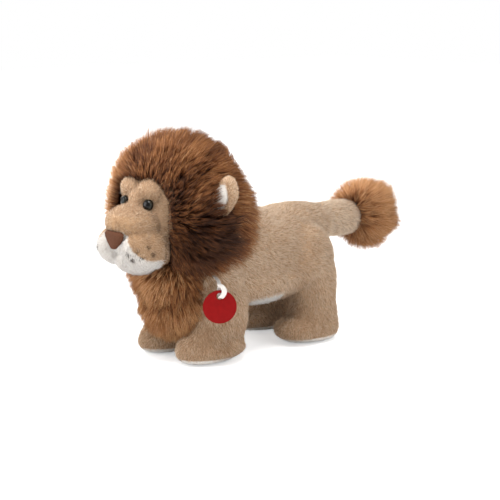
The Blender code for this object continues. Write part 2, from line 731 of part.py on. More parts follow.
def ribbon_path():
    """Down the front ply, round under the edge of the tag's hole and back up the other ply."""
    loop = ribbon_loop()
    side = []
    steps = 2 * DOME_STEPS
    for step in range(1, steps + 1):
        share = step / steps
        height = RIBBON_DROP * share
        lean = RIBBON_REACH * (1 - math.cos(math.pi / 2 * share))
        open_half = (RIBBON_LOOP_RADIUS - RIBBON_THICKNESS) * math.cos(math.pi / 2 * share) + RIBBON_THICKNESS
        side.append((open_half, height, lean))
    path = []
    for open_half, height, lean in reversed(side):
        path.append(loop + TAG_FRONT * (open_half - lean) + Vector((0, 0, height)))
    for step in range(2 * DOME_STEPS + 1):
        turn = math.pi * step / (2 * DOME_STEPS)
        path.append(loop + TAG_FRONT * (RIBBON_LOOP_RADIUS * math.cos(turn))
                    - Vector((0, 0, RIBBON_LOOP_RADIUS * math.sin(turn))))
    for open_half, height, lean in side:
        path.append(loop - TAG_FRONT * (open_half + lean) + Vector((0, 0, height)))
    return path


def ribbon_rings(grow=0):
    """Sections of the ribbon, which is pinched where it passes through the tag."""
    path = ribbon_path()
    loop = ribbon_loop()
    rings = []
    for index, place in enumerate(path):
        along = (path[(index + 1) % len(path)] - path[index - 1]).normalized()
        out = along.cross(TAG_ACROSS)
        pinch = 1 - min(max(place.z - loop.z, 0) / RIBBON_DROP, 1)
        half_width = (RIBBON_WIDTH + (RIBBON_PINCH_WIDTH - RIBBON_WIDTH) * pinch) / 2 + grow
        half = RIBBON_THICKNESS / 2 + grow
        rings.append([place + TAG_ACROSS * (half_width * i) + out * (half * j)
                      for i, j in ((-1, -1), (1, -1), (1, 1), (-1, 1))])
    return rings


def lifted_tool(name, rings, joint):
    """The way through the fur that a form needs while the ribbon lifts it."""
    points = []
    for step in range(DOME_STEPS + 1):
        turn = Matrix.Rotation(-RIBBON_LIFT * step / DOME_STEPS, 3, TAG_ACROSS)
        for corners in rings:
            points.extend(ribbon_seam() + turn @ (corner - ribbon_seam()) for corner in corners)
    return cutter(name, hull(points), joint)


def tag_tools(group, joint):
    return [lifted_tool(group + "_ribbon_way", ribbon_rings(ROOT_ROOM), joint),
            lifted_tool(group + "_tag_way", tag_rings(ROOT_ROOM), joint)]


def make_looks():
    return {
        "beige": material("beige plush", BEIGE, 0.9),
        "white": material("white plush", WHITE, 0.9),
        "brown": material("brown long fur", BROWN, 0.85),
        "fibre": material("fibre stuffing", FIBRE, 0.95),
        "nose": material("nose flock", NOSE_BROWN, 0.75),
        "eye": material("eye plastic", EYE_GREEN, 0.12),
        "washer": material("washer plastic", WASHER_WHITE, 0.45),
        "satin": material("ribbon satin", SATIN, 0.35),
        "red": material("tag card", TAG_RED, 0.3),
    }


def main():
    clear_scene()
    looks = make_looks()
    root = joint_empty("lion", (0, 0, 0), None)
    head = joint_empty("head_joint", HEAD_CENTRE, root)
    legs = [Leg("front_left_leg", 1, True), Leg("front_right_leg", -1, True),
            Leg("hind_left_leg", 1, False), Leg("hind_right_leg", -1, False)]
    ears = [Ear("left_ear", 1), Ear("right_ear", -1)]

    reach = (HEAD_RADIUS + GAP) / (math.cos(math.pi / SEAT_SIDES) * math.cos(math.pi / (2 * SEAT_STEPS)))
    seat = cutter("head_seat", solid(egg(HEAD_CENTRE, reach, reach, reach, reach, SEAT_STEPS, SEAT_SIDES)), root)
    sweep = cutter("mane_sweep", swept_hull(front_mane_rings(MANE_ROOM), HEAD_CENTRE, "Z", -HEAD_TURN, HEAD_TURN), root)
    leg_tools = [leg_tool(leg, root) for leg in legs]
    tools = [seat, sweep, *leg_tools]

    make_body(root, looks, [*tools, tail_tool(root)])
    make_fur_panels(root, looks, tools)
    for leg in legs:
        make_leg(leg, root, looks)
    make_head(head, looks, [ear_tool(ear, head) for ear in ears])
    for ear in ears:
        make_ear(ear, head, looks)
    make_tail(root, looks)
    make_tag(root, looks)


main()
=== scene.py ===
import math

import bpy
import numpy as np
from mathutils import Matrix, Vector
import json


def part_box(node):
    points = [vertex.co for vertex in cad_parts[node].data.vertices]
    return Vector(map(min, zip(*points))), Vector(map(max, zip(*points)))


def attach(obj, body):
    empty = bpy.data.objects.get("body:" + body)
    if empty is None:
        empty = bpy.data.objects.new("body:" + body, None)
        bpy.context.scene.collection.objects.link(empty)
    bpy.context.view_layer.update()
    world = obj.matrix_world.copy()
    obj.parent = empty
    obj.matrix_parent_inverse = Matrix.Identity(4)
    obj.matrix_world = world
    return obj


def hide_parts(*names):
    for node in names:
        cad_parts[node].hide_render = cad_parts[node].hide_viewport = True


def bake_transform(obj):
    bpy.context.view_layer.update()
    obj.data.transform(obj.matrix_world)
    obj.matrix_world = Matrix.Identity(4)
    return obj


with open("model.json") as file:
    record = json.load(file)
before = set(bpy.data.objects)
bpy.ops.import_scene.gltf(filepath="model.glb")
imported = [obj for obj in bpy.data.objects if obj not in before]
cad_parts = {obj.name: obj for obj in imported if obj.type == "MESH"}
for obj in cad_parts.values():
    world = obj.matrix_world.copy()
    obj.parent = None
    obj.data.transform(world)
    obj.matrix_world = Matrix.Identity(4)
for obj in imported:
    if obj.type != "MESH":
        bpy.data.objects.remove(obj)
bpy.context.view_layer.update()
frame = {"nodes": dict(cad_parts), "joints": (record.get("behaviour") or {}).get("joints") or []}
joint_places = {joint["name"]: np.array(joint["pos_m"]) for joint in frame["joints"]}

# Places that the frame gives
HEAD = joint_places["head_turn"]
TAIL = joint_places["tail_wag"]
LEG_NAMES = ("front_left_leg", "front_right_leg", "hind_left_leg", "hind_right_leg")
LEGS = {name: joint_places[name + "_swing"] for name in LEG_NAMES}
EARS = {side: joint_places[side + "_ear_fold"] for side in ("left", "right")}
RIBBON_SEAM = joint_places["ribbon_swing"]

# Trunk, in metres
SKIN_SWELL = 0.0014
SKIN_VOXEL = 0.0022
BODY_VOXEL = 0.003
LIMB_VOXEL = 0.0025
LEG_BAND_TOP = 0.078
LEG_BEND_START = 0.064
LEG_BEND_END = 0.036
LEG_AHEAD = 0.0455
LEG_BEHIND = 0.037
LEG_OUTER_SIDE = 0.08
LEG_INNER_SIDE = 0.003
SOLE_TOP = 0.0062
ANKLE = (0.036, -0.018, 0.026)
ANKLE_REACH = 0.009
BELLY_SEAM = 0.0535
BELLY_SLOPE = 0.10
BELLY_MIDDLE = -0.025
TAIL_CUT = 0.066
TAIL_FREE = 0.09
# Soft forms: the middle of each, and its half size
TRUNK_FORMS = {
    "haunch": ((0.029, 0.024, 0.079), (0.024, 0.026, 0.031)),
    "shoulder": ((0.027, -0.084, 0.076), (0.0235, 0.026, 0.03)),
    "belly": ((0.02, -0.025, 0.064), (0.0255, 0.06, 0.0215)),
    "elbow": ((0.03, -0.079, 0.042), (0.0205, 0.0245, 0.0385)),
    "front foot": ((0.032, -0.088, 0.0125), (0.0215, 0.03, 0.0118)),
    "hind foot": ((0.032, 0.012, 0.013), (0.0205, 0.0235, 0.0122)),
}
TRUNK_ROUNDS = 20
TAIL_BASE = (0, 0.028, 0.104)
TAIL_BASE_SIZE = (0.028, 0.056, 0.0222)

# Face, from the middle of the head
FACE_VOXEL = 0.0014
MUZZLE_CUT = -0.04
MUZZLE_TOP = 0.003
PAIRED_FORMS = {
    "brow": ((0.0125, -0.03, 0.0232), (0.0165, 0.0165, 0.0116)),
    "temple": ((0.029, -0.021, 0.018), (0.012, 0.015, 0.015)),
    "cheek": ((0.0178, -0.0455, -0.0255), (0.0165, 0.0245, 0.018)),
}
SINGLE_FORMS = {
    "forehead": ((0, -0.033, 0.012), (0.013, 0.016, 0.015)),
    "bridge": ((0, -0.0455, -0.005), (0.0275, 0.024, 0.016)),
    "nose base": ((0, -0.053, -0.022), (0.011, 0.012, 0.013)),
    "chin": ((0, -0.04, -0.037), (0.02, 0.0225, 0.013)),
    "jaw": ((0, -0.025, -0.025), (0.028, 0.025, 0.02)),
}
FACE_RADIUS = 0.05
FACE_DEPTH = 0.045
NECK_ROOM = 0.003
EYE_SIDE = 0.0158
EYE_RISE = 0.011
EYE_RADIUS = 0.005
EYE_HEIGHT = 0.0036
FACE_WHORL = (0, -0.075, -0.002)
COVER_INSET = 0.0003
FACE_ROUNDS = 7
NOSE_PLACE = (0, -0.067, -0.018)
NOSE_ROOM = (0.0095, 0.006)
EYE_LIFT = 0.0022
EYE_CORNER = (0.0105, 0.007)
EYE_CORNER_SIZE = (0.004, 0.005)
FACE_PILE_BACK = 0.01
NOSE_VOXEL = 0.0005
NOSE_SWELL = 0.0012
EAR_STRETCH = (1.30, 1.0, 0.86)
EAR_SHIFT = (0, -0.0068, -0.0035)
EAR_DEEPER = 1.15
EAR_VOXEL = 0.0011
EAR_BACK_SWELL = 0.0009
EAR_LINING_SWELL = 0.0006
WHISKERS = ((0.033, -0.0534, -0.027), (0.0325, -0.0569, -0.0201), (0.029, -0.0647, -0.0236),
            (0.03, -0.0616, -0.0297), (0.0245, -0.0678, -0.0309), (0.0215, -0.0694, -0.026))
WHISKER_RADIUS = 0.0021
BORDER_SIDE = (0.01, 0.0145, 0.024, 0.029, 0.032)
BORDER_HEIGHT = (-0.0105, -0.0135, -0.0215, -0.029, -0.0335)
BORDER_BEHIND = (-0.057, -0.05)

# Short pile
PILE_LENGTH = 0.0054
PILE_WIDTH = 0.0005
PILE_LEAN = 0.66
PILE_CLUMP = 0.0016
PILE_ROOT = 0.0006
LEG_COMB = (0, 0.18, -1.0)
BODY_COMB = (0, 0.85, -0.5)
LEG_COMB_TOP = 0.055
COMB_REACH = 0.025
DARKEST_TINT = 0.07
# Painted shade on the legs: the plush darkens below this height, over this reach
LOW_PAINTED_SHADE_TOP = 0.075
LOW_PAINTED_SHADE_REACH = 0.06
PALE_TAIL = 0.055
PALE_TAIL_REACH = 0.02
SOLE_PILE_LENGTH = 0.0024
SOLE_PILE_LOW = 0.0008
PAW_PILE_RISE = 0.009
TINT_SPAN = 0.012
BEIGE_SNOUT_LENGTH = 0.0036
WHITE_SNOUT_LENGTH = 0.0046
FACE_PILE_LENGTH = 0.0042
EAR_PILE_LENGTH = 0.0035
TRUNK_HAIRS = 190000
FACE_HAIRS = 50000
SNOUT_HAIRS = 100000
EAR_BACK_HAIRS = 9000
EAR_LINING_HAIRS = 3600

# Long fur: HOOD, WINDOW and COLLAR are from the middle of the head, and TUFT from the tail's root
HAIR_WIDTH = 0.0005
HAIR_CLUMP = 0.004
HAIR_WAVER = 0.0005
HAIR_ROOT = 0.002
HAIR_BEND = 0.6
FUR_INSET = 0.005
TUFT_INSET = 0.003
RUFF_INSET = 0.004
HOOD_HAIRS = 46000
HOOD_LENGTHS = (0.011, 0.012, 0.02)
COLLAR_HAIRS = 27000
COLLAR_LENGTH = 0.0235
RUFF_HAIRS = 18000
RUFF_LENGTH = 0.0195
TUFT_HAIRS = 19000
TUFT_LENGTH = 0.025
EAR_ROOM = (0.013, -0.004, 0.008)
EAR_ROOM_SIZE = (0.017, 0.011, 0.017)
NECK_BELOW = 0.044
NECK_BEHIND = 0.005
COLLAR_AHEAD = 0.012
# Painted shade: a darker patch in the mane on each side below the ears, for the shade between the hairs
# there
HOOD_PAINTED_SHADE = (0.06, -0.108, 0.118)
HOOD_PAINTED_SHADE_REACH = 0.02
# Painted shade: a darker patch in the rear mane on each side, for the shade between the hairs there
COLLAR_PAINTED_SHADE = (0.05, -0.095, 0.112)
COLLAR_PAINTED_SHADE_REACH = 0.016
HOOD = (0, 0.002, 0.0025)
HOOD_SIZE = (0.064, 0.0505, 0.057)
WINDOW = (0, -0.05, -0.009)
WINDOW_SIZE = (0.036, 0.046, 0.04)
WINDOW_FLARE = 0.16
WINDOW_POWER = 2.8
SEAM_TOP = (-0.0605, 0.18)
SEAM_END = (-0.096, 0.145)
SEAM_REACH = 0.012
SEAM_LOW = 0.155
SEAM_RISE = 0.02
COLLAR = (0, 0.018, -0.008)
COLLAR_SIZE = (0.05, 0.042, 0.052)
RUFF = (0.002, -0.109, 0.057)
RUFF_SIZE = (0.0285, 0.025, 0.03)
RUFF_TOP = (0, -0.115, 0.076)
RUFF_TOP_SIZE = (0.034, 0.023, 0.019)
TUFT = (0, 0.0745, 0.0008)
TUFT_SIZE = (0.017, 0.019, 0.0185)
FUR_VOXEL = 0.0025
TAIL_END = 0.057
FLOOR_GAP = 0.0003
PIECE_TRIANGLES = 190000

# Tag and ribbon
TAG_FACING = math.radians(55)
TAG_RADIUS = 0.0145
TAG_THICKNESS = 0.0012
TAG_HOLE = 0.003
TAG_HOLE_RISE = 0.0093
TAG_RIM = 0.00022
RIBBON_WIDTH = 0.0046
RIBBON_THICKNESS = 0.0006
RIBBON_STEPS = 26

# Camera and light
TARGET = Vector((0.0212, -0.0378, 0.092))
CAMERA_OFFSET = Vector((0.93024, -0.80867, 0.23068))
CAMERA_LENS = 100.2
LAMP_SIZE = 1.2
LAMPS = (("key", (0.3, -0.5, 1.9), 38), ("front", (-0.8, -1.4, 0.6), 15),
         ("fill", (1.5, -0.2, 0.7), 6), ("rim", (-1.4, 0.5, 0.9), 14))
FLOOR_SHADE = 0.86
FLOOR_GLOW = 0.44
SKY_GLOW = 0.68

rng = np.random.default_rng(7)


# Objects

def only(*made):
    """Leave nothing selected but these, with the first one active."""
    bpy.ops.object.select_all(action="DESELECT")
    for item in made:
        item.select_set(True)
    bpy.context.view_layer.objects.active = made[0]


def finish_with(made, kind, **values):
    """Add a modifier and apply it at once."""
    modifier = made.modifiers.new(kind.title(), kind)
    for key, value in values.items():
        setattr(modifier, key, value)
    only(made)
    bpy.ops.object.modifier_apply(modifier=modifier.name)
    return made


def cut(made, tool, operation="DIFFERENCE"):
    return finish_with(made, "BOOLEAN", operation=operation, object=tool, solver="EXACT")


def edited(made, step, **values):
    """Take one step of edit mode over a whole mesh."""
    only(made)
    bpy.ops.object.mode_set(mode="EDIT")
    bpy.ops.mesh.select_all(action="SELECT")
    step(**values)
    bpy.ops.object.mode_set(mode="OBJECT")
    return made


def new_object(name, data):
    made = bpy.data.objects.new(name, data)
    bpy.context.collection.objects.link(made)
    return made


def copy_of(node, name):
    """A free copy of a CAD solid, with its corners merged."""
    made = new_object(name, frame["nodes"][node].data.copy())
    made.data.materials.clear()
    return edited(made, bpy.ops.mesh.remove_doubles, threshold=0.00001)


def drop(*made):
    for item in made:
        bpy.data.objects.remove(item, do_unlink=True)


def join(name, parts):
    only(*parts)
    bpy.ops.object.join()
    made = bpy.context.view_layer.objects.active
    made.name = name
    return made


def puffed(node, name, voxel, swell, rounds=2):
    """A CAD solid with even faces, grown outwards."""
    made = copy_of(node, name)
    finish_with(made, "REMESH", mode="VOXEL", voxel_size=voxel)
    finish_with(made, "SMOOTH", factor=0.5, iterations=rounds)
    return finish_with(made, "DISPLACE", strength=swell, mid_level=0)


def placed(name, add, place, scale, **values):
    """A primitive at its place and size."""
    bpy.ops.object.select_all(action="DESELECT")
    add(location=place, **values)
    made = bpy.context.view_layer.objects.active
    made.name = name
    made.scale = scale
    only(made)
    bpy.ops.object.transform_apply(location=True, rotation=True, scale=True)
    return made


def ball(name, place, size):
    return placed(name, bpy.ops.mesh.primitive_ico_sphere_add, place, size, subdivisions=5, radius=1)


def set_corners(made, corners):
    made.data.vertices.foreach_set("co", corners.astype(np.float32).reshape(-1))
    made.data.update()
    return made


def rounded(made, place, size):
    """Press a ball of one metre towards a box, then size and place it."""
    corners = spots_of(made)
    corners = np.sign(corners) * np.abs(corners) ** (2 / WINDOW_POWER)
    return set_corners(made, corners * size + place)


def block(name, low, high):
    low = np.array(low)
    high = np.array(high)
    return placed(name, bpy.ops.mesh.primitive_cube_add, (low + high) / 2, high - low, size=1)


def pair_of_balls(name, origin, place, size):
    """The same soft form on both sides."""
    made = []
    for side in (-1, 1):
        spot = np.array(origin) + np.array(place) * (side, 1, 1)
        made.append(ball(name, spot, size))
    return made


def blended_skin(name, parts, voxel, rounds):
    """One soft skin round several forms."""
    made = join(name, parts)
    finish_with(made, "REMESH", mode="VOXEL", voxel_size=voxel)
    return finish_with(made, "SMOOTH", factor=0.5, iterations=rounds)


def split(made, tool, name):
    """Take the part of a skin inside a block off it, as a piece of its own."""
    piece = cut(new_object(name, made.data.copy()), tool, "INTERSECT")
    cut(made, tool)
    drop(tool)
    return piece


def settle(made, body=None, bend=None):
    """Attach each piece to the body that carries it; pieces given a bend stay unattached, with their place
    baked into their mesh.
    """
    for item in made:
        if bend:
            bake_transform(item)
        else:
            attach(item, body)


# Sampling and hair

def skin_data(made):
    """Corners, normals and triangles of a skin."""
    mesh = made.data
    mesh.calc_loop_triangles()
    places = np.empty(len(mesh.vertices) * 3)
    mesh.vertices.foreach_get("co", places)
    normals = np.empty(len(mesh.vertices) * 3)
    mesh.vertices.foreach_get("normal", normals)
    corners = np.empty(len(mesh.loop_triangles) * 3, dtype=np.int32)
    mesh.loop_triangles.foreach_get("vertices", corners)
    return places.reshape(-1, 3), normals.reshape(-1, 3), corners.reshape(-1, 3)


def unit(vectors):
    return vectors / np.maximum(np.linalg.norm(vectors, axis=-1, keepdims=True), 1e-9)


def scatter(made, count):
    """Places and normals spread evenly over a skin."""
    places, normals, corners = skin_data(made)
    sides = places[corners]
    area = np.linalg.norm(np.cross(sides[:, 1] - sides[:, 0], sides[:, 2] - sides[:, 0]), axis=1)
    chosen = rng.choice(len(corners), count, p=area / area.sum())
    a = rng.random(count)
    b = rng.random(count)
    over = a + b > 1
    a[over] = 1 - a[over]
    b[over] = 1 - b[over]
    weights = np.stack([1 - a - b, a, b], axis=1)[:, :, None]
    spots = (places[corners[chosen]] * weights).sum(axis=1)
    facing = unit((normals[corners[chosen]] * weights).sum(axis=1))
    return spots, facing


def soft_noise(spots, scale, seed):
    """A smooth value from -1 to 1 that changes over about the scale."""
    mixer = np.random.default_rng(seed)
    total = np.zeros(len(spots))
    for _ in range(8):
        wave = mixer.normal(size=3) / scale
        total += np.sin(spots @ wave + mixer.uniform(0, math.tau))
    return np.clip(total / 3.5, -1, 1)


def swirl(spots, scale, seed):
    return np.stack([soft_noise(spots, scale, seed + step) for step in range(3)], axis=1)


def fading(offsets, reach):
    """A value of 1 at a place, which fades out over the reach."""
    return np.exp(-(offsets ** 2).sum(axis=1) / (2 * reach ** 2))


def hair_faces(rows):
    """The triangles of one hair, with each corner's place along it and across it."""
    faces = [(2, 1, 0)]
    shares = [(0.0, 0.0, 0.02)]
    sides = [(0.0, 1.0, 0.5)]
    levels = np.linspace(0, 1, rows)
    for row in range(rows - 2):
        low, high = levels[row:row + 2]
        for step in range(3):
            a = row * 3 + step
            b = row * 3 + (step + 1) % 3
            faces += [(a, b, b + 3), (a, b + 3, a + 3)]
            shares += [(low, low, high), (low, high, high)]
            sides += [(0.0, 1.0, 1.0), (0.0, 1.0, 0.0)]
    last = (rows - 2) * 3
    for step in range(3):
        faces.append((last + step, last + (step + 1) % 3, last + 3))
        shares.append((levels[-2], levels[-2], 1.0))
        sides.append((0.0, 1.0, 0.5))
    return np.array(faces), np.array(shares), np.array(sides)


def hair_corners(paths, widths):
    """Three corners round each step of a hair, and one at its tip."""
    count = len(paths)
    along = np.diff(paths, axis=1)
    along = unit(np.concatenate([along, along[:, -1:]], axis=1))
    aside = unit(np.cross(along, rng.normal(size=(count, 1, 3))))
    above = np.cross(along, aside)
    rings = []
    for step in range(3):
        turn = math.tau * step / 3
        rings.append(aside * math.cos(turn) + above * math.sin(turn))
    rings = np.stack(rings, axis=2)[:, :-1]
    tubes = paths[:, :-1, None] + rings * widths[:, :, None, None] / 2
    return np.concatenate([tubes.reshape(count, -1, 3), paths[:, -1:]], axis=1)


def hair_object(name, paths, widths, tints, look):
    """Three-sided hairs along their paths, closed at the root and drawn to a point."""
    corners = hair_corners(paths, widths)
    count, corners_each = corners.shape[:2]
    faces, shares, sides = hair_faces(paths.shape[1])
    all_faces = (faces[None] + (np.arange(count) * corners_each)[:, None, None]).reshape(-1)
    across = tints[:, None, None] * (1 - TINT_SPAN) + sides[None] * TINT_SPAN
    upward = np.broadcast_to(shares[None], across.shape)
    flat = np.stack([across, upward], axis=-1).reshape(-1)

    mesh = bpy.data.meshes.new(name)
    mesh.vertices.add(count * corners_each)
    mesh.vertices.foreach_set("co", corners.astype(np.float32).reshape(-1))
    mesh.loops.add(len(all_faces))
    mesh.loops.foreach_set("vertex_index", all_faces.astype(np.int32))
    mesh.polygons.add(len(all_faces) // 3)
    mesh.polygons.foreach_set("loop_start", np.arange(0, len(all_faces), 3, dtype=np.int32))
    mesh.update(calc_edges=True)
    layer = mesh.uv_layers.new(name="OFBake")
    layer.data.foreach_set("uv", flat.astype(np.float32))
    mesh.shade_smooth()
    mesh.materials.append(look)
    return new_object(name, mesh)


def hair_pieces(name, paths, widths, tints, look):
    """Hairs shared out over as many pieces as keep each one light."""
    triangles_each = len(hair_faces(paths.shape[1])[0])
    groups = math.ceil(len(paths) * triangles_each / PIECE_TRIANGLES)
    made = []
    for number, part in enumerate(np.array_split(rng.permutation(len(paths)), groups)):
        label = name if groups == 1 else f"{name}_{number + 1}"
        made.append(hair_object(label, paths[part], widths[part], tints[part], look))
    return made


def grow(spots, facing, ways, lengths, rows, lean, droop):
    """Paths that leave the skin and bend over to the way the hair is combed."""
    flat = unit(ways - facing * (ways * facing).sum(axis=1, keepdims=True))
    start = unit(facing * (1 - lean[:, None]) + flat * lean[:, None])
    end = unit(start + flat * HAIR_BEND + np.array([0, 0, -1.0]) * droop)
    paths = []
    for share in np.linspace(0, 1, rows):
        late = share * share / 2
        paths.append(spots + (start * (share - late) + end * late) * lengths[:, None])
    return np.stack(paths, axis=1)


def clumped(paths, clump_size, strength):
    """Draw the tips of neighbouring hairs together into locks."""
    roots = paths[:, 0]
    bent = roots + swirl(roots, 0.006, 40) * clump_size * 0.5
    bent = bent + rng.normal(size=roots.shape) * clump_size * 0.16
    cells = np.floor(bent / clump_size + rng.random(3)).astype(np.int64)
    keys = cells[:, 0] * 73856093 ^ cells[:, 1] * 19349663 ^ cells[:, 2] * 83492791
    _, group = np.unique(keys, return_inverse=True)
    sums = np.zeros((group.max() + 1, 3))
    np.add.at(sums, group, paths[:, -1])
    tips = (sums / np.bincount(group)[:, None])[group]
    shares = np.linspace(0, 1, paths.shape[1]) ** 1.6
    return paths + (tips - paths[:, -1])[:, None] * shares[None, :, None] * strength


def keep_above_floor(paths):
    paths[:, :, 2] = np.maximum(paths[:, :, 2], FLOOR_GAP)
    return paths


def pile(skin, count, comb, wanted, lengths, shade=None):
    """Short plush over a skin, combed one way: its roots, its paths and its tints."""
    spots, facing = scatter(skin, count)
    grown = wanted(spots, facing)
    spots = spots[grown]
    facing = facing[grown]
    ways = unit(comb(spots, facing)) + swirl(spots, 0.012, 60) * 0.30 + rng.normal(size=spots.shape) * 0.30
    sizes = lengths(spots) * rng.uniform(0.7, 1.15, len(spots)) * (1 + 0.08 * soft_noise(spots, 0.005, 51))
    leans = PILE_LEAN + rng.normal(size=len(spots)) * 0.10 + 0.07 * soft_noise(spots, 0.005, 52)
    leans = np.clip(leans, 0, 0.9)
    paths = grow(spots - facing * PILE_ROOT, facing, ways, sizes, 2, leans, 0.0)
    paths = keep_above_floor(clumped(paths, PILE_CLUMP, 0.12))
    tints = 0.52 + 0.03 * soft_noise(spots, 0.014, 3) + 0.05 * soft_noise(spots, 0.003, 4)
    tints = np.clip(tints + rng.normal(size=len(spots)) * 0.29, DARKEST_TINT, 1)
    if shade is not None:
        tints = shade(spots, tints)
    return spots, paths, tints


def plush(name, grown, wanted, look):
    """The part of a pile that one piece carries."""
    spots, paths, tints = grown
    widths = np.full((wanted.sum(), 1), PILE_WIDTH)
    return hair_pieces(name, paths[wanted], widths, tints[wanted], looks[look])


def everywhere(spots, facing=None):
    return np.full(len(spots), True)


def even(length):
    """The same hair length all over."""
    def lengths(spots):
        return np.full(len(spots), length)

    return lengths


def long_fur(name, skin, count, comb, lengths, tint, keep, lean, droop, lock=0.7, look="mane hair"):
    """Long pile in locks, over the outside of a form."""
    spots, facing = scatter(skin, count)
    wanted = keep(spots, facing)
    spots = spots[wanted]
    facing = facing[wanted]
    ways = unit(comb(spots, facing)) + rng.normal(size=spots.shape) * 0.18 + swirl(spots, 0.011, 11) * 0.28
    sizes = lengths(spots) * (0.78 + 0.46 * rng.random(len(spots)) ** 2)
    sizes = sizes * (1 + 0.16 * soft_noise(spots, 0.005, 17))
    leans = lean + rng.normal(size=len(spots)) * 0.10 + 0.12 * soft_noise(spots, 0.007, 5)
    leans = np.clip(leans, 0, 0.9)
    paths = grow(spots - facing * HAIR_ROOT, facing, ways, sizes, 3, leans, droop)
    paths = clumped(paths, HAIR_CLUMP, lock)
    paths += rng.normal(size=paths.shape) * HAIR_WAVER * np.linspace(0, 1, 3)[None, :, None]
    paths = keep_above_floor(paths)
    shades = np.clip(tint(spots) + rng.normal(size=len(spots)) * 0.17, 0, 1)
    widths = HAIR_WIDTH * np.array([1.0, 0.75])[None] * rng.uniform(0.7, 1.3, (len(spots), 1))
    return hair_pieces(name, paths, widths, shades, looks[look])


# Materials

def set_inputs(node, values):
    for name, value in values.items():
        node.inputs[name].default_value = value


def shader_of(name, roughness, sheen, specular):
    made = bpy.data.materials.new(name)
    made.use_nodes = True
    shader = made.node_tree.nodes["Principled BSDF"]
    set_inputs(shader, {"Roughness": roughness, "Sheen Weight": sheen, "Sheen Roughness": 0.5,
                        "Specular IOR Level": specular})
    return made, made.node_tree, shader


def linear(colour):
    """A colour of a screen, from 0 to 255, as light."""
    values = []
    for part in colour:
        share = part / 255
        values.append(share / 12.92 if share <= 0.04045 else ((share + 0.055) / 1.055) ** 2.4)
    return (*values, 1)


def ramp(tree, source, stops):
    node = tree.nodes.new("ShaderNodeValToRGB")
    tree.links.new(source, node.inputs["Fac"])
    elements = node.color_ramp.elements
    while len(elements) < len(stops):
        elements.new(0.5)
    for element, (place, colour) in zip(elements, stops):
        element.position = place
        element.color = linear(colour)
    return node.outputs["Color"]


def multiplied(tree, first, second):
    node = tree.nodes.new("ShaderNodeMix")
    node.data_type = "RGBA"
    node.blend_type = "MULTIPLY"
    node.inputs["Factor"].default_value = 1.0
    tree.links.new(first, node.inputs["A"])
    tree.links.new(second, node.inputs["B"])
    return node.outputs["Result"]


def hair_look(name, tints, depths, roughness=0.8, sheen=0.1, specular=0.15):
    """Hair whose colour runs over tints from lock to lock, and darkens to its root."""
    made, tree, shader = shader_of(name, roughness, sheen, specular)
    strand = use_group(tree, STRAND)
    tint = ramp(tree, strand.outputs["Tint"], tints)
    depth = ramp(tree, strand.outputs["Depth"], depths)
    tree.links.new(multiplied(tree, tint, depth), shader.inputs["Base Color"])
    return made


def new_group(name, outputs, inputs=()):
    """An empty node group, with its input and output nodes."""
    group = bpy.data.node_groups.new(name, "ShaderNodeTree")
    for socket in inputs:
        group.interface.new_socket(socket, in_out="INPUT", socket_type="NodeSocketFloat")
    for socket in outputs:
        group.interface.new_socket(socket, in_out="OUTPUT", socket_type="NodeSocketFloat")
    return group, group.nodes.new("NodeGroupInput"), group.nodes.new("NodeGroupOutput")


def grain_group():
    """Fine grain, at a scale that each material gives."""
    group, given, result = new_group("grain", ["Grain"], ["Scale"])
    place = group.nodes.new("ShaderNodeTexCoord")
    noise = group.nodes.new("ShaderNodeTexNoise")
    noise.inputs["Detail"].default_value = 3
    group.links.new(place.outputs["Object"], noise.inputs["Vector"])
    group.links.new(given.outputs["Scale"], noise.inputs["Scale"])
    group.links.new(noise.outputs["Fac"], result.inputs["Grain"])
    return group


def strand_group():
    """Where a point of a hair is: its lock's tint, and its place from root to tip."""
    group, _, result = new_group("strand", ["Tint", "Depth"])
    flat = group.nodes.new("ShaderNodeUVMap")
    flat.uv_map = "OFBake"
    parts = group.nodes.new("ShaderNodeSeparateXYZ")
    group.links.new(flat.outputs["UV"], parts.inputs["Vector"])
    group.links.new(parts.outputs["X"], result.inputs["Tint"])
    group.links.new(parts.outputs["Y"], result.inputs["Depth"])
    return group


def use_group(tree, group):
    node = tree.nodes.new("ShaderNodeGroup")
    node.node_tree = group
    return node


def bumped(tree, shader, height, strength, distance):
    bump = tree.nodes.new("ShaderNodeBump")
    set_inputs(bump, {"Strength": strength, "Distance": distance})
    tree.links.new(height, bump.inputs["Height"])
    tree.links.new(bump.outputs["Normal"], shader.inputs["Normal"])


def grain_look(name, scale, dark, light, roughness, sheen=0.0, specular=0.1, spread=0.2, bump=None):
    """A surface whose fine grain runs between two close colours."""
    made, tree, shader = shader_of(name, roughness, sheen, specular)
    node = use_group(tree, GRAIN)
    node.inputs["Scale"].default_value = scale
    grain = node.outputs["Grain"]
    stops = [(0.5 - spread, dark), (0.5 + spread, light)]
    tree.links.new(ramp(tree, grain, stops), shader.inputs["Base Color"])
    if bump:
        bumped(tree, shader, grain, *bump)
    return made


def cloth_look(name, dark, light):
    """The cloth under the pile."""
    return grain_look(name, 500.0, dark, light, 0.95, spread=0.15)


def value_look(name, attribute, stops, roughness, specular):
    """A surface coloured by a value that its mesh holds."""
    made, tree, shader = shader_of(name, roughness, 0.0, specular)
    source = tree.nodes.new("ShaderNodeAttribute")
    source.attribute_name = attribute
    tree.links.new(ramp(tree, source.outputs["Fac"], stops), shader.inputs["Base Color"])
    return made


def hold_value(made, attribute, values):
    layer = made.data.attributes.new(attribute, "FLOAT", "POINT")
    layer.data.foreach_set("value", values.astype(np.float32))


def spots_of(made):
    return skin_data(made)[0]


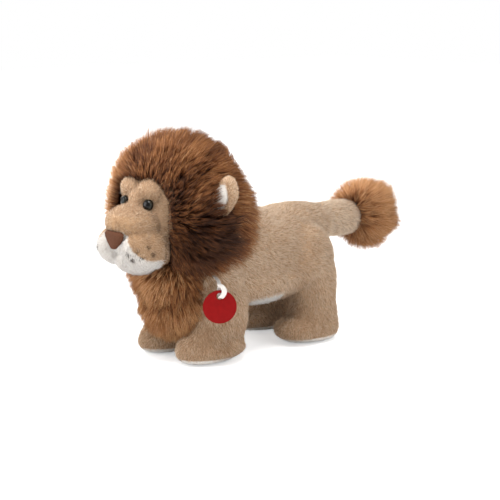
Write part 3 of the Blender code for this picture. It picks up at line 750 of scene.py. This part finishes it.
GRAIN = grain_group()
STRAND = strand_group()
ROOT_TO_TIP = [(0.0, (196, 184, 174)), (0.6, (242, 239, 236)), (1.0, (255, 255, 255))]
WHITE_DEPTHS = [(0.0, (226, 219, 213)), (0.6, (248, 246, 244)), (1.0, (255, 255, 255))]
MARK = (58, 32, 18)
BEIGE_TINTS = [(0.0, MARK), (0.03, MARK), (0.06, (176, 136, 102)), (0.4, (214, 180, 145)),
               (0.75, (236, 208, 177)), (1.0, (249, 231, 208))]
WHITE_TINTS = [(0.0, MARK), (0.03, MARK), (0.06, (226, 220, 214)), (0.5, (243, 240, 236)),
               (1.0, (253, 252, 250))]
MANE_TINTS = [(0.0, (50, 25, 10)), (0.25, (94, 53, 25)), (0.5, (146, 91, 46)), (0.75, (194, 136, 84)),
              (1.0, (236, 188, 138))]
MANE_DEPTHS = [(0.0, (98, 78, 66)), (0.4, (182, 167, 157)), (0.75, (238, 233, 229)), (1.0, (255, 255, 255))]
TUFT_DEPTHS = [(0.0, (70, 50, 38)), (0.35, (120, 98, 82)), (0.7, (214, 200, 190)), (1.0, (255, 255, 255))]
# The beige of the muzzle cloth is darker than its pile: painted shade for the gaps between the hairs
MUZZLE_COLOURS = [(0.0, (226, 221, 214)), (1.0, (160, 128, 97))]
EYE_COLOURS = [(0.0, (4, 3, 3)), (0.66, (5, 4, 3)), (0.74, (24, 24, 17)), (0.86, (36, 36, 26)),
               (0.93, (44, 38, 30)), (1.0, (14, 10, 7))]
looks = {
    "beige pile": hair_look("beige pile", BEIGE_TINTS, ROOT_TO_TIP),
    "white pile": hair_look("white pile", WHITE_TINTS, WHITE_DEPTHS),
    "mane hair": hair_look("mane hair", MANE_TINTS, MANE_DEPTHS, 0.55, 0.0, 0.3),
    "tuft hair": hair_look("tuft hair", MANE_TINTS, TUFT_DEPTHS, 0.55, 0.0, 0.3),
    # The beige cloth is darker than the pile on it: painted shade for the gaps between the hairs
    "beige cloth": cloth_look("beige cloth", (146, 118, 93), (162, 133, 106)),
    "white cloth": cloth_look("white cloth", (216, 210, 202), (232, 227, 220)),
    "mane cloth": cloth_look("mane cloth", (44, 23, 13), (62, 34, 20)),
    "muzzle cloth": value_look("muzzle cloth", "beige", MUZZLE_COLOURS, 0.95, 0.1),
    "eye": value_look("eye", "from_middle", EYE_COLOURS, 0.06, 0.25),
    "nose felt": grain_look("nose felt", 1400.0, (76, 46, 31), (98, 63, 45), 0.85, specular=0.15,
                            bump=(0.5, 0.0003)),
    "satin": grain_look("satin", 900.0, (206, 199, 193), (220, 214, 209), 0.38, 0.3, 0.5,
                        bump=(0.25, 0.0002)),
    "tag card": grain_look("tag card", 260.0, (124, 3, 4), (132, 5, 6), 0.6, specular=0.12),
    "washer": grain_look("washer plastic", 300.0, (214, 214, 210), (224, 224, 221), 0.5, specular=0.25),
}


def dress(made, look):
    made.data.materials.clear()
    made.data.materials.append(looks[look])
    only(made)
    bpy.ops.object.shade_smooth_by_angle(angle=math.radians(60))
    return made


# Body, legs and tail

def make_trunk():
    parts = [puffed("body_stuffing", "trunk", BODY_VOXEL, SKIN_SWELL)]
    for leg in LEGS:
        parts.append(puffed(leg + "_stuffing", leg, LIMB_VOXEL, SKIN_SWELL))
    parts.append(puffed("tail_stuffing", "tail", LIMB_VOXEL, SKIN_SWELL))
    for place, size in TRUNK_FORMS.values():
        parts += pair_of_balls("filling", (0, 0, 0), place, size)
    parts.append(ball("tail_base", TAIL_BASE, TAIL_BASE_SIZE))
    return blended_skin("trunk", parts, SKIN_VOXEL, TRUNK_ROUNDS)


def trunk_way(spots, facing):
    """Back along the body and the tail, and down the legs."""
    share = np.clip((spots[:, 2:] - LEG_COMB_TOP) / COMB_REACH, 0, 1)
    return np.array(LEG_COMB) * (1 - share) + np.array(BODY_COMB) * share


def trunk_shade(spots, tints):
    """Plush that is a little deeper in colour at the airbrushed ankles, darker low on the legs as painted
    shade, and paler on the tail.
    """
    # Painted shade: the plush darkens towards the floor, standing in for the shade low on the legs
    low = np.clip((LOW_PAINTED_SHADE_TOP - spots[:, 2]) / LOW_PAINTED_SHADE_REACH, 0, 1)
    tail = np.clip((spots[:, 1] - PALE_TAIL) / PALE_TAIL_REACH, 0, 1)
    tints = tints + 0.12 - 0.16 * low + 0.30 * tail
    for place in LEGS.values():
        ankle = np.array([math.copysign(ANKLE[0], place[0]), place[1] + ANKLE[1], ANKLE[2]])
        tints = tints - 0.22 * fading(spots - ankle, ANKLE_REACH)
    return np.clip(tints, DARKEST_TINT, 1)


def clear_of_head(spots, facing):
    return np.linalg.norm(spots - HEAD, axis=1) > FACE_RADIUS + NECK_ROOM


def leg_block(place):
    """The low and high corners of the block that cuts a leg from the trunk."""
    side = math.copysign(1, place[0])
    corners = np.array([[side * LEG_INNER_SIDE, place[1] - LEG_AHEAD, -0.01],
                        [side * LEG_OUTER_SIDE, place[1] + LEG_BEHIND, LEG_BAND_TOP]])
    return corners.min(axis=0), corners.max(axis=0)


def tilted(made):
    """Let a block rise to the back as the belly's seam does."""
    corners = spots_of(made)
    corners[:, 2] += BELLY_SLOPE * (corners[:, 1] - BELLY_MIDDLE)
    return set_corners(made, corners)


def trunk_lengths(spots):
    heights = (SOLE_TOP, SOLE_TOP + PAW_PILE_RISE)
    return np.interp(spots[:, 2], heights, (SOLE_PILE_LENGTH, PILE_LENGTH))


def make_body():
    trunk = make_trunk()
    grown = pile(trunk, TRUNK_HAIRS, trunk_way, clear_of_head, trunk_lengths, trunk_shade)
    spots = grown[0]
    free = everywhere(spots)
    for leg, place in LEGS.items():
        low, high = leg_block(place)
        inside = ((spots > low) & (spots < high)).all(axis=1)
        make_leg(leg, split(trunk, block("leg_block", low, high), leg + "_skin"), grown, inside)
        free &= ~inside
    tail = split(trunk, block("tail_block", [-0.05, TAIL_CUT, 0.08], [0.05, 0.2, 0.15]), "tail_skin")
    under = tilted(block("belly_block", [-0.1, -0.2, -0.02], [0.1, 0.2, BELLY_SEAM]))
    belly = split(trunk, under, "belly_skin")
    on_tail = spots[:, 1] > TAIL_CUT
    seam = BELLY_SEAM + BELLY_SLOPE * (spots[:, 1] - BELLY_MIDDLE)
    on_belly = free & ~on_tail & (spots[:, 2] < seam)

    trunk.name = "body_skin"
    dress(trunk, "beige cloth")
    dress(belly, "white cloth")
    body_pile = plush("body_pile", grown, free & ~on_tail & ~on_belly, "beige pile")
    belly_pile = plush("belly_pile", grown, on_belly, "white pile")
    settle([trunk, *body_pile], "torso")
    settle([belly, *belly_pile], "torso")
    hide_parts("body_cover", "body_stuffing")
    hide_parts("belly_panel")
    make_tail(tail, grown, on_tail)


def make_leg(leg, skin, grown, inside):
    middle = LEGS[leg][1]
    under = block("sole_block", [-0.1, middle - 0.1, -0.01], [0.1, middle + 0.1, SOLE_TOP])
    sole = split(skin, under, leg + "_sole_skin")
    dress(skin, "beige cloth")
    dress(sole, "white cloth")
    height = grown[0][:, 2]
    leg_pile = plush(leg + "_pile", grown, inside & (height > SOLE_TOP), "beige pile")
    on_sole = inside & (height < SOLE_TOP) & (height > SOLE_PILE_LOW)
    sole_pile = plush(leg + "_sole_pile", grown, on_sole, "white pile")
    bend = ("torso", leg, (0, middle, LEG_BEND_START), (0, middle, LEG_BEND_END))
    settle([skin, *leg_pile], bend=bend)
    settle([sole, *sole_pile], leg)
    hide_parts(leg + "_cover", leg + "_stuffing")
    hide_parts(leg + "_sole")


def make_tail(skin, grown, on_tail):
    dress(skin, "beige cloth")
    tail_pile = plush("tail_pile", grown, on_tail, "beige pile")
    bend = ("torso", "tail", (0, TAIL_CUT, TAIL[2]), (0, TAIL_FREE, TAIL[2]))
    settle([skin, *tail_pile], bend=bend)
    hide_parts("tail_cover", "tail_stuffing")
    make_tuft()


def fur_piece(skin, form, hair, body):
    """Dress the skin under long fur, and let the body carry both."""
    drop(form)
    settle([dress(skin, "mane cloth"), *hair], body)


def make_tuft():
    middle = TAIL + TUFT
    tuft = ball("tail_tuft_skin", middle, np.array(TUFT_SIZE) - TUFT_INSET)
    form = ball("tuft_form", middle, TUFT_SIZE)

    def away(spots, facing):
        return unit(spots - middle) + np.array([0, 0.5, 0])

    def outer(spots, facing):
        return spots[:, 1] > TAIL[1] + TAIL_END

    def shade(spots):
        return 0.84 + 0.12 * soft_noise(spots, 0.01, 9)

    hair = long_fur("tail_tuft_hair", form, TUFT_HAIRS, away, even(TUFT_LENGTH), shade, outer,
                    0.36, 0.03, 0.5, "tuft hair")
    fur_piece(tuft, form, hair, "tail")
    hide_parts("tail_tuft")


# Manes and ruff

def one_side(spots):
    """The spots of both sides, brought to one side."""
    return np.stack([np.abs(spots[:, 0]), spots[:, 1], spots[:, 2]], axis=1)


def clear_of_ears(spots):
    """Where fur may grow, so that the ears stand free."""
    free = everywhere(spots)
    for side, root in EARS.items():
        way = 1 if side == "left" else -1
        middle = root + np.array(EAR_ROOM) * (way, 1, 1)
        free &= np.linalg.norm((spots - middle) / EAR_ROOM_SIZE, axis=1) > 1
    return free


def behind_seam(spots):
    """How far fur is behind the seam that runs from the top of the head to the ears."""
    seam = np.interp(spots[:, 2], (SEAM_END[1], SEAM_TOP[1]), (SEAM_END[0], SEAM_TOP[0]))
    return spots[:, 1] - seam


def near_seam(spots):
    """A value of 1 at the seam on top of the head, which fades out ahead of it and down the sides."""
    ahead = np.exp(np.minimum(behind_seam(spots), 0) / SEAM_REACH)
    return ahead * np.clip((spots[:, 2] - SEAM_LOW) / SEAM_RISE, 0, 1)


def clear_of_face(spots):
    offset = np.abs(spots - (HEAD + WINDOW)) / WINDOW_SIZE
    offset[:, 0] /= 1 + WINDOW_FLARE * (spots[:, 2] - HEAD[2] - WINDOW[2]) / WINDOW_SIZE[2]
    return (offset ** WINDOW_POWER).sum(axis=1) > 1


def make_hood():
    """The mane on the head, with a rounded window for the face."""
    middle = HEAD + HOOD
    face = HEAD + WINDOW
    skin = ball("front_mane_skin", middle, np.array(HOOD_SIZE) - FUR_INSET)
    window = rounded(ball("window", (0, 0, 0), (1, 1, 1)), face, np.array(WINDOW_SIZE) + 0.001)
    cut(skin, window)
    drop(window)
    form = ball("hood_form", middle, HOOD_SIZE)

    def from_face(spots, facing):
        ways = spots - face
        ways[:, 1] *= 0.4
        return unit(ways) + np.array([0, 0.22, 0.0]) - near_seam(spots)[:, None] * (0, 0.8, 0)

    def keep(spots, facing):
        tips = spots + facing * 0.006
        neck = (spots[:, 2] < HEAD[2] - NECK_BELOW) & (spots[:, 1] > HEAD[1] - NECK_BEHIND)
        free = clear_of_face(spots) & clear_of_ears(spots) & clear_of_ears(tips)
        return free & ~neck & (behind_seam(spots) < 0)

    def lengths(spots):
        away = np.linalg.norm((spots - face) / WINDOW_SIZE, axis=1)
        shortest, at_window, longest = HOOD_LENGTHS
        return np.clip(at_window + (away - 1) * 0.016, shortest, longest)

    def shade(spots):
        # Painted shade: darker hair on each side below the ears, where the hairs shade each other
        dark = fading(one_side(spots) - HOOD_PAINTED_SHADE, HOOD_PAINTED_SHADE_REACH)
        # Painted light: paler hair towards the far side of the head, standing in for light falling on its
        # edge
        far = np.clip((-0.012 - spots[:, 0]) / 0.03, 0, 1)
        return 0.44 - 0.39 * dark + 0.56 * far + 0.14 * soft_noise(spots, 0.01, 21)

    hair = long_fur("front_mane_hair", form, HOOD_HAIRS, from_face, lengths, shade, keep, 0.32, 0.10)
    fur_piece(skin, form, hair, "head")
    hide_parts("front_mane")


def make_collar():
    """The mane behind the seam, round the neck and over the shoulders."""
    middle = HEAD + COLLAR
    skin = ball("rear_mane_skin", middle, np.array(COLLAR_SIZE) - FUR_INSET)
    form = ball("collar_form", middle, COLLAR_SIZE)

    def back_down(spots, facing):
        return unit(spots - HEAD) * 0.5 + np.array([0, 0.8, -0.45])

    def keep(spots, facing):
        hood = (spots - (HEAD + HOOD)) / (np.array(HOOD_SIZE) - 0.009)
        outside = (np.linalg.norm(hood, axis=1) > 1) | (behind_seam(spots) > 0)
        return outside & clear_of_ears(spots) & (spots[:, 1] > HEAD[1] - COLLAR_AHEAD)

    def shade(spots):
        # Painted shade: darker hair on each side of the neck, where the hairs shade each other
        dark = fading(one_side(spots) - COLLAR_PAINTED_SHADE, COLLAR_PAINTED_SHADE_REACH)
        return 0.64 - 0.30 * dark + 0.15 * soft_noise(spots, 0.01, 22)

    hair = long_fur("rear_mane_hair", form, COLLAR_HAIRS, back_down, even(COLLAR_LENGTH), shade, keep,
                    0.42, 0.15)
    fur_piece(skin, form, hair, "torso")
    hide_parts("rear_mane")


def make_ruff():
    """Long fur on the chest, from the chin down between the front legs."""
    forms = []
    for inset in (RUFF_INSET, 0):
        parts = [ball("ruff", RUFF, np.array(RUFF_SIZE) - inset),
                 ball("ruff_top", RUFF_TOP, np.array(RUFF_TOP_SIZE) - inset)]
        forms.append(blended_skin("chest_ruff_skin", parts, FUR_VOXEL, 16))
    skin, form = forms

    def down(spots, facing):
        return facing * 0.3 + np.array([0, 0.15, -1.0])

    def keep(spots, facing):
        return (facing[:, 2] < 0.95) & (facing[:, 1] < 0.5)

    def shade(spots):
        return 0.74 + 0.14 * soft_noise(spots, 0.01, 23)

    hair = long_fur("chest_ruff_hair", form, RUFF_HAIRS, down, even(RUFF_LENGTH), shade, keep, 0.5, 0.3)
    fur_piece(skin, form, hair, "torso")
    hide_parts("chest_ruff")


# Head

def is_beige(spots):
    """Where the snout's plush is beige: its top, and a patch on each cheek."""
    offset = spots - HEAD
    front = np.interp(np.abs(offset[:, 0]), BORDER_SIDE, BORDER_HEIGHT)
    share = np.clip((offset[:, 1] - BORDER_BEHIND[0]) / (BORDER_BEHIND[1] - BORDER_BEHIND[0]), 0, 1)
    return offset[:, 2] > front * (1 - share) + BORDER_HEIGHT[-1] * share


def face_shade(spots, tints):
    """Airbrushed marks: whisker spots on the cheeks and a touch at the inner corner of each eye."""
    offset = spots - HEAD
    side = np.abs(offset[:, 0])
    corner = ((side - EYE_CORNER[0]) / EYE_CORNER_SIZE[0]) ** 2
    corner = corner + ((offset[:, 2] - EYE_CORNER[1]) / EYE_CORNER_SIZE[1]) ** 2
    tints = np.clip(tints - 0.10 - 0.20 * np.exp(-corner), DARKEST_TINT, 1)
    for whisker in WHISKERS:
        for way in (-1, 1):
            distance = np.linalg.norm(offset - np.array(whisker) * (way, 1, 1), axis=1)
            middle = offset[distance.argmin()]
            tints[np.linalg.norm(offset - middle, axis=1) < WHISKER_RADIUS] = 0
    return tints


def face_way(spots, facing):
    return spots - (HEAD + np.array(FACE_WHORL))


def off_the_nose(spots):
    offset = spots - (HEAD + NOSE_PLACE)
    return np.linalg.norm(offset[:, [0, 2]] / NOSE_ROOM, axis=1) > 1


def eye_places():
    """Each eye's side, middle on the face, and the way that it looks."""
    for name, side in (("left", 1), ("right", -1)):
        flat = np.array([side * EYE_SIDE, 0, EYE_RISE])
        depth = FACE_DEPTH * math.sqrt(1 - (flat ** 2).sum() / FACE_RADIUS ** 2)
        way = (flat[0] / FACE_RADIUS ** 2, -depth / FACE_DEPTH ** 2, flat[2] / FACE_RADIUS ** 2)
        yield name, Vector(HEAD + flat + (0, -depth, 0)), Vector(way).normalized()


def off_the_eyes(spots):
    free = everywhere(spots)
    for name, place, way in eye_places():
        free &= np.linalg.norm(spots - np.array(place), axis=1) > EYE_RADIUS - 0.0001
    return free


def is_snout(spots):
    offset = spots - HEAD
    return (offset[:, 1] < MUZZLE_CUT) & (offset[:, 2] < MUZZLE_TOP)


def within_snout(spots, facing):
    return is_snout(spots) & off_the_nose(spots) & off_the_eyes(spots)


def outside_snout(spots, facing):
    front = (spots[:, 1] < HEAD[1] - FACE_PILE_BACK) & (facing[:, 1] < 0.3)
    return front & ~is_snout(spots) & off_the_eyes(spots)


def face_lengths(spots):
    on_snout = np.where(is_beige(spots), BEIGE_SNOUT_LENGTH, WHITE_SNOUT_LENGTH)
    return np.where(is_snout(spots), on_snout, FACE_PILE_LENGTH)


def make_head():
    cover = np.array((FACE_RADIUS, FACE_DEPTH, FACE_RADIUS)) - COVER_INSET
    parts = [ball("face", HEAD, cover)]
    for place, size in PAIRED_FORMS.values():
        parts += pair_of_balls("filling", HEAD, place, size)
    for place, size in SINGLE_FORMS.values():
        parts.append(ball("filling", HEAD + place, size))
    skin = blended_skin("face", parts, FACE_VOXEL, FACE_ROUNDS)
    on_face = pile(skin, FACE_HAIRS, face_way, outside_snout, face_lengths, face_shade)
    on_snout = pile(skin, SNOUT_HAIRS, face_way, within_snout, face_lengths, face_shade)
    corner = HEAD + (0.1, MUZZLE_CUT, MUZZLE_TOP)
    muzzle = split(skin, block("muzzle_block", [-0.1, -0.3, 0.0], corner), "muzzle_skin")
    skin.name = "head_skin"
    dress(skin, "beige cloth")
    dress(muzzle, "muzzle cloth")
    hold_value(muzzle, "beige", is_beige(spots_of(muzzle)).astype(float))

    beige = is_beige(on_snout[0])
    snout_pile = plush("snout_pile", on_snout, beige, "beige pile")
    chin_pile = plush("chin_pile", on_snout, ~beige, "white pile")
    face_pile = plush("face_pile", on_face, everywhere(on_face[0]), "beige pile")
    settle([skin, *face_pile, *snout_pile], "head")
    settle([muzzle, *chin_pile], "head")
    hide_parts("head_cover", "head_stuffing")
    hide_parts("muzzle_cover", "muzzle_stuffing")


def make_nose():
    nose = puffed("nose", "nose_felt", NOSE_VOXEL, NOSE_SWELL, 3)
    dress(nose, "nose felt")
    settle([nose], "head")
    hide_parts("nose")


def make_eyes():
    for name, place, way in eye_places():
        size = (EYE_RADIUS, EYE_RADIUS, EYE_HEIGHT)
        eye = placed(name + "_eye", bpy.ops.mesh.primitive_uv_sphere_add, (0, 0, 0), size,
                     segments=48, ring_count=32, radius=1)
        hold_value(eye, "from_middle", np.linalg.norm(spots_of(eye)[:, :2], axis=1) / EYE_RADIUS)
        turned = way.to_track_quat("Z", "Y").to_matrix().to_4x4()
        eye.data.transform(Matrix.Translation(place + way * EYE_LIFT) @ turned)
        dress(eye, "eye")
        settle([eye], "head")
        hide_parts("eye_" + name)


def reshaped(made, middle, stretch, shift):
    """Stretch a piece about a place, and shift it."""
    set_corners(made, (spots_of(made) - middle) * stretch + middle + shift)


def deepened(made, front, share):
    """Swell the part of a piece behind a plane."""
    corners = spots_of(made)
    corners[:, 1] += np.maximum(corners[:, 1] - front, 0) * share
    set_corners(made, corners)


def make_ears():
    for side in ("left", "right"):
        back = puffed(side + "_ear_back", side + "_ear_skin", EAR_VOXEL, EAR_BACK_SWELL)
        lining = puffed(side + "_ear_lining", side + "_ear_lining_skin", EAR_VOXEL, EAR_LINING_SWELL)
        middle = spots_of(back).mean(axis=0)
        for made in (back, lining):
            reshaped(made, middle, EAR_STRETCH, EAR_SHIFT)
        front = spots_of(lining)[:, 1].max()
        deepened(back, front, EAR_DEEPER)
        dress(back, "beige cloth")
        dress(lining, "white cloth")

        def up_ear(spots, facing):
            return spots - EARS[side]

        on_back = pile(back, EAR_BACK_HAIRS, up_ear, everywhere, even(EAR_PILE_LENGTH))
        on_lining = pile(lining, EAR_LINING_HAIRS, up_ear, everywhere, even(EAR_PILE_LENGTH))
        back_pile = plush(side + "_ear_pile", on_back, everywhere(on_back[0]), "beige pile")
        lining_pile = plush(side + "_ear_lining_pile", on_lining, everywhere(on_lining[0]), "white pile")
        settle([back, *back_pile], side + "_ear")
        settle([lining, *lining_pile], side + "_ear")
        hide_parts(side + "_ear_back")
        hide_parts(side + "_ear_lining")


# Tag and ribbon

TAG_FRONT = np.array([math.sin(TAG_FACING), -math.cos(TAG_FACING), 0])
TAG_ACROSS = np.array([math.cos(TAG_FACING), math.sin(TAG_FACING), 0])
UP = np.array([0, 0, 1.0])
RIBBON_START = ((0, -0.004, 0), (0, 0.005, 0))
RIBBON_STEM = ((0, -0.007, 0.0025), (0, 0, 0))
RIBBON_TURNS = ((-0.0004, 0.0008, 0.0098), (0, 0, -0.0014))
RIBBON_BEND = ((0.0022, 0.0022, -0.0004),)
RIBBON_FRONT = ((0.0042, 0.0036, 0.0052), (0.0022, 0.0034, 0.0006), (0, 0.0022, -0.0012))
RIBBON_BACK = ((0, -0.0034, 0.0045), (0, -0.0024, -0.0004))


def tag_middle():
    low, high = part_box("hang_tag")
    return (np.array(low) + np.array(high)) / 2


def make_tag():
    """A card disc with a punched hole and an eased rim."""
    tag = placed("tag_card", bpy.ops.mesh.primitive_cylinder_add, (0, 0, 0), (1, 1, 1),
                 vertices=96, radius=TAG_RADIUS, depth=TAG_THICKNESS)
    hole = placed("punch", bpy.ops.mesh.primitive_cylinder_add, (0, TAG_HOLE_RISE, 0), (1, 1, 1),
                  vertices=48, radius=TAG_HOLE, depth=0.01)
    cut(tag, hole)
    drop(hole)
    finish_with(tag, "BEVEL", width=TAG_RIM, segments=3, limit_method="ANGLE")
    turned = Matrix((TAG_ACROSS, (0, 0, 1), TAG_FRONT)).transposed().to_4x4()
    tag.data.transform(Matrix.Translation(Vector(tag_middle())) @ turned)
    dress(tag, "tag card")
    finish_with(tag, "EDGE_SPLIT", split_angle=math.radians(40))
    settle([tag], "hang_tag")
    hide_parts("hang_tag")


def band(name, path, widths, facings):
    """A flat ribbon along a path, turned to face the given ways."""
    along = unit(np.gradient(path, axis=0))
    across = unit(np.cross(along, facings))
    out = unit(np.cross(across, along))
    corners = []
    for place, width, side, turned in zip(path, widths, across, out):
        for i, j in ((-1, -1), (0, -1.3), (1, -1), (1, 1), (0, 1.3), (-1, 1)):
            corners.append(place + side * (i * width / 2) + turned * (j * RIBBON_THICKNESS / 2))
    faces = []
    for row in range(len(path) - 1):
        for step in range(6):
            a = row * 6 + step
            b = row * 6 + (step + 1) % 6
            faces.append((a, a + 6, b + 6, b))
    last = (len(path) - 1) * 6
    faces.append(tuple(range(6)))
    faces.append(tuple(range(last + 5, last - 1, -1)))
    mesh = bpy.data.meshes.new(name)
    mesh.from_pydata([tuple(corner) for corner in corners], [], faces)
    made = edited(new_object(name, mesh), bpy.ops.mesh.normals_make_consistent, inside=False)
    return finish_with(made, "SUBSURF", levels=2, render_levels=2)


def smooth_path(points):
    """An even curve through points."""
    points = np.array(points)
    reach = np.concatenate([[0], np.cumsum(np.linalg.norm(np.diff(points, axis=0), axis=1))])
    places = np.linspace(0, reach[-1], RIBBON_STEPS)
    path = np.stack([np.interp(places, reach, points[:, axis]) for axis in range(3)], axis=1)
    for _ in range(8):
        path[1:-1] = path[1:-1] / 2 + (path[:-2] + path[2:]) / 4
    return path


def turning(first, last, start=0.0):
    """Facings that turn from one way to another along a path."""
    share = np.clip((np.linspace(0, 1, RIBBON_STEPS) - start) / (1 - start), 0, 1)[:, None]
    return unit(np.array(first) * (1 - share) + np.array(last) * share)


def beside(place, offsets):
    """Points beside a place, by how far they are across the card, ahead of it and above."""
    return [place + TAG_ACROSS * across + TAG_FRONT * ahead + UP * above
            for across, ahead, above in offsets]


def make_ribbon():
    """The ribbon comes out of the seam, turns over and passes through the hole of the card."""
    hole = tag_middle() + UP * TAG_HOLE_RISE
    fold, under = beside(hole, RIBBON_TURNS)
    seam = RIBBON_SEAM - UP * 0.0018 - TAG_ACROSS * 0.0052
    stem = smooth_path(beside(seam, RIBBON_START) + beside(fold, RIBBON_STEM))
    front = smooth_path([fold, *beside(fold, RIBBON_BEND), *beside(hole, RIBBON_FRONT), under])
    back = smooth_path([fold, *beside(hole, RIBBON_BACK), under])
    share = np.linspace(0, 1, len(stem))
    swell = np.sin(math.pi * share)
    parts = [band("stem", stem, RIBBON_WIDTH * (0.45 + 0.35 * share),
                  turning(UP + TAG_FRONT, UP + TAG_FRONT * 0.4)),
             band("front_ply", front, RIBBON_WIDTH * (0.70 + 0.30 * swell),
                  turning(TAG_FRONT + UP * 0.5, -UP + TAG_FRONT * 0.3, 0.7)),
             band("back_ply", back, RIBBON_WIDTH * (0.65 + 0.15 * swell),
                  turning(-TAG_FRONT, -UP - TAG_FRONT * 0.3, 0.7)),
             ball("fold", fold, (0.0019, 0.0019, 0.0013))]
    ribbon = dress(join("ribbon", parts), "satin")
    settle([ribbon], "ribbon")
    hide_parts("tag_ribbon")


def make_washers():
    """The washers stay inside the head, behind the eyes."""
    for side in ("left", "right"):
        washer = dress(copy_of("eye_washer_" + side, side + "_washer"), "washer")
        finish_with(washer, "BEVEL", width=0.0002, segments=2, limit_method="ANGLE")
        settle([washer], "head")
        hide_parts("eye_washer_" + side)


# Stage, light and camera

def make_stage():
    floor = placed("floor", bpy.ops.mesh.primitive_plane_add, (0, 0, -0.0002), (1, 1, 1), size=8)
    made, tree, shader = shader_of("pale floor", 0.95, 0.0, 0.0)
    set_inputs(shader, {"Base Color": (FLOOR_SHADE, FLOOR_SHADE, FLOOR_SHADE, 1),
                        "Emission Color": (1, 1, 1, 1)})
    light_path = tree.nodes.new("ShaderNodeLightPath")
    share = tree.nodes.new("ShaderNodeMath")
    share.operation = "MULTIPLY"
    share.inputs[1].default_value = FLOOR_GLOW
    tree.links.new(light_path.outputs["Is Camera Ray"], share.inputs[0])
    tree.links.new(share.outputs["Value"], shader.inputs["Emission Strength"])
    floor.data.materials.append(made)


def make_world():
    world = bpy.data.worlds.new("studio")
    bpy.context.scene.world = world
    world.use_nodes = True
    tree = world.node_tree
    back = tree.nodes["Background"]
    back.inputs["Color"].default_value = (1, 1, 1, 1)
    light_path = tree.nodes.new("ShaderNodeLightPath")
    strength = tree.nodes.new("ShaderNodeMapRange")
    set_inputs(strength, {"To Min": SKY_GLOW, "To Max": 1.0})
    tree.links.new(light_path.outputs["Is Camera Ray"], strength.inputs["Value"])
    tree.links.new(strength.outputs["Result"], back.inputs["Strength"])


def make_lamp(name, place, power):
    data = bpy.data.lights.new(name, "AREA")
    data.energy = power
    data.size = LAMP_SIZE
    lamp = new_object(name, data)
    lamp.location = place
    lamp.rotation_euler = (TARGET - Vector(place)).to_track_quat("-Z", "Y").to_euler()


def make_camera():
    data = bpy.data.cameras.new("camera")
    data.sensor_width = 36
    data.lens = CAMERA_LENS
    camera = new_object("camera", data)
    camera.location = TARGET + CAMERA_OFFSET
    camera.rotation_euler = (-CAMERA_OFFSET).to_track_quat("-Z", "Y").to_euler()
    bpy.context.scene.camera = camera


make_body()
make_head()
make_nose()
make_eyes()
make_washers()
make_ears()
make_hood()
make_collar()
make_ruff()
make_tag()
make_ribbon()
make_stage()
make_world()
for lamp in LAMPS:
    make_lamp(*lamp)
make_camera()
bpy.context.scene.view_settings.view_transform = "Standard"
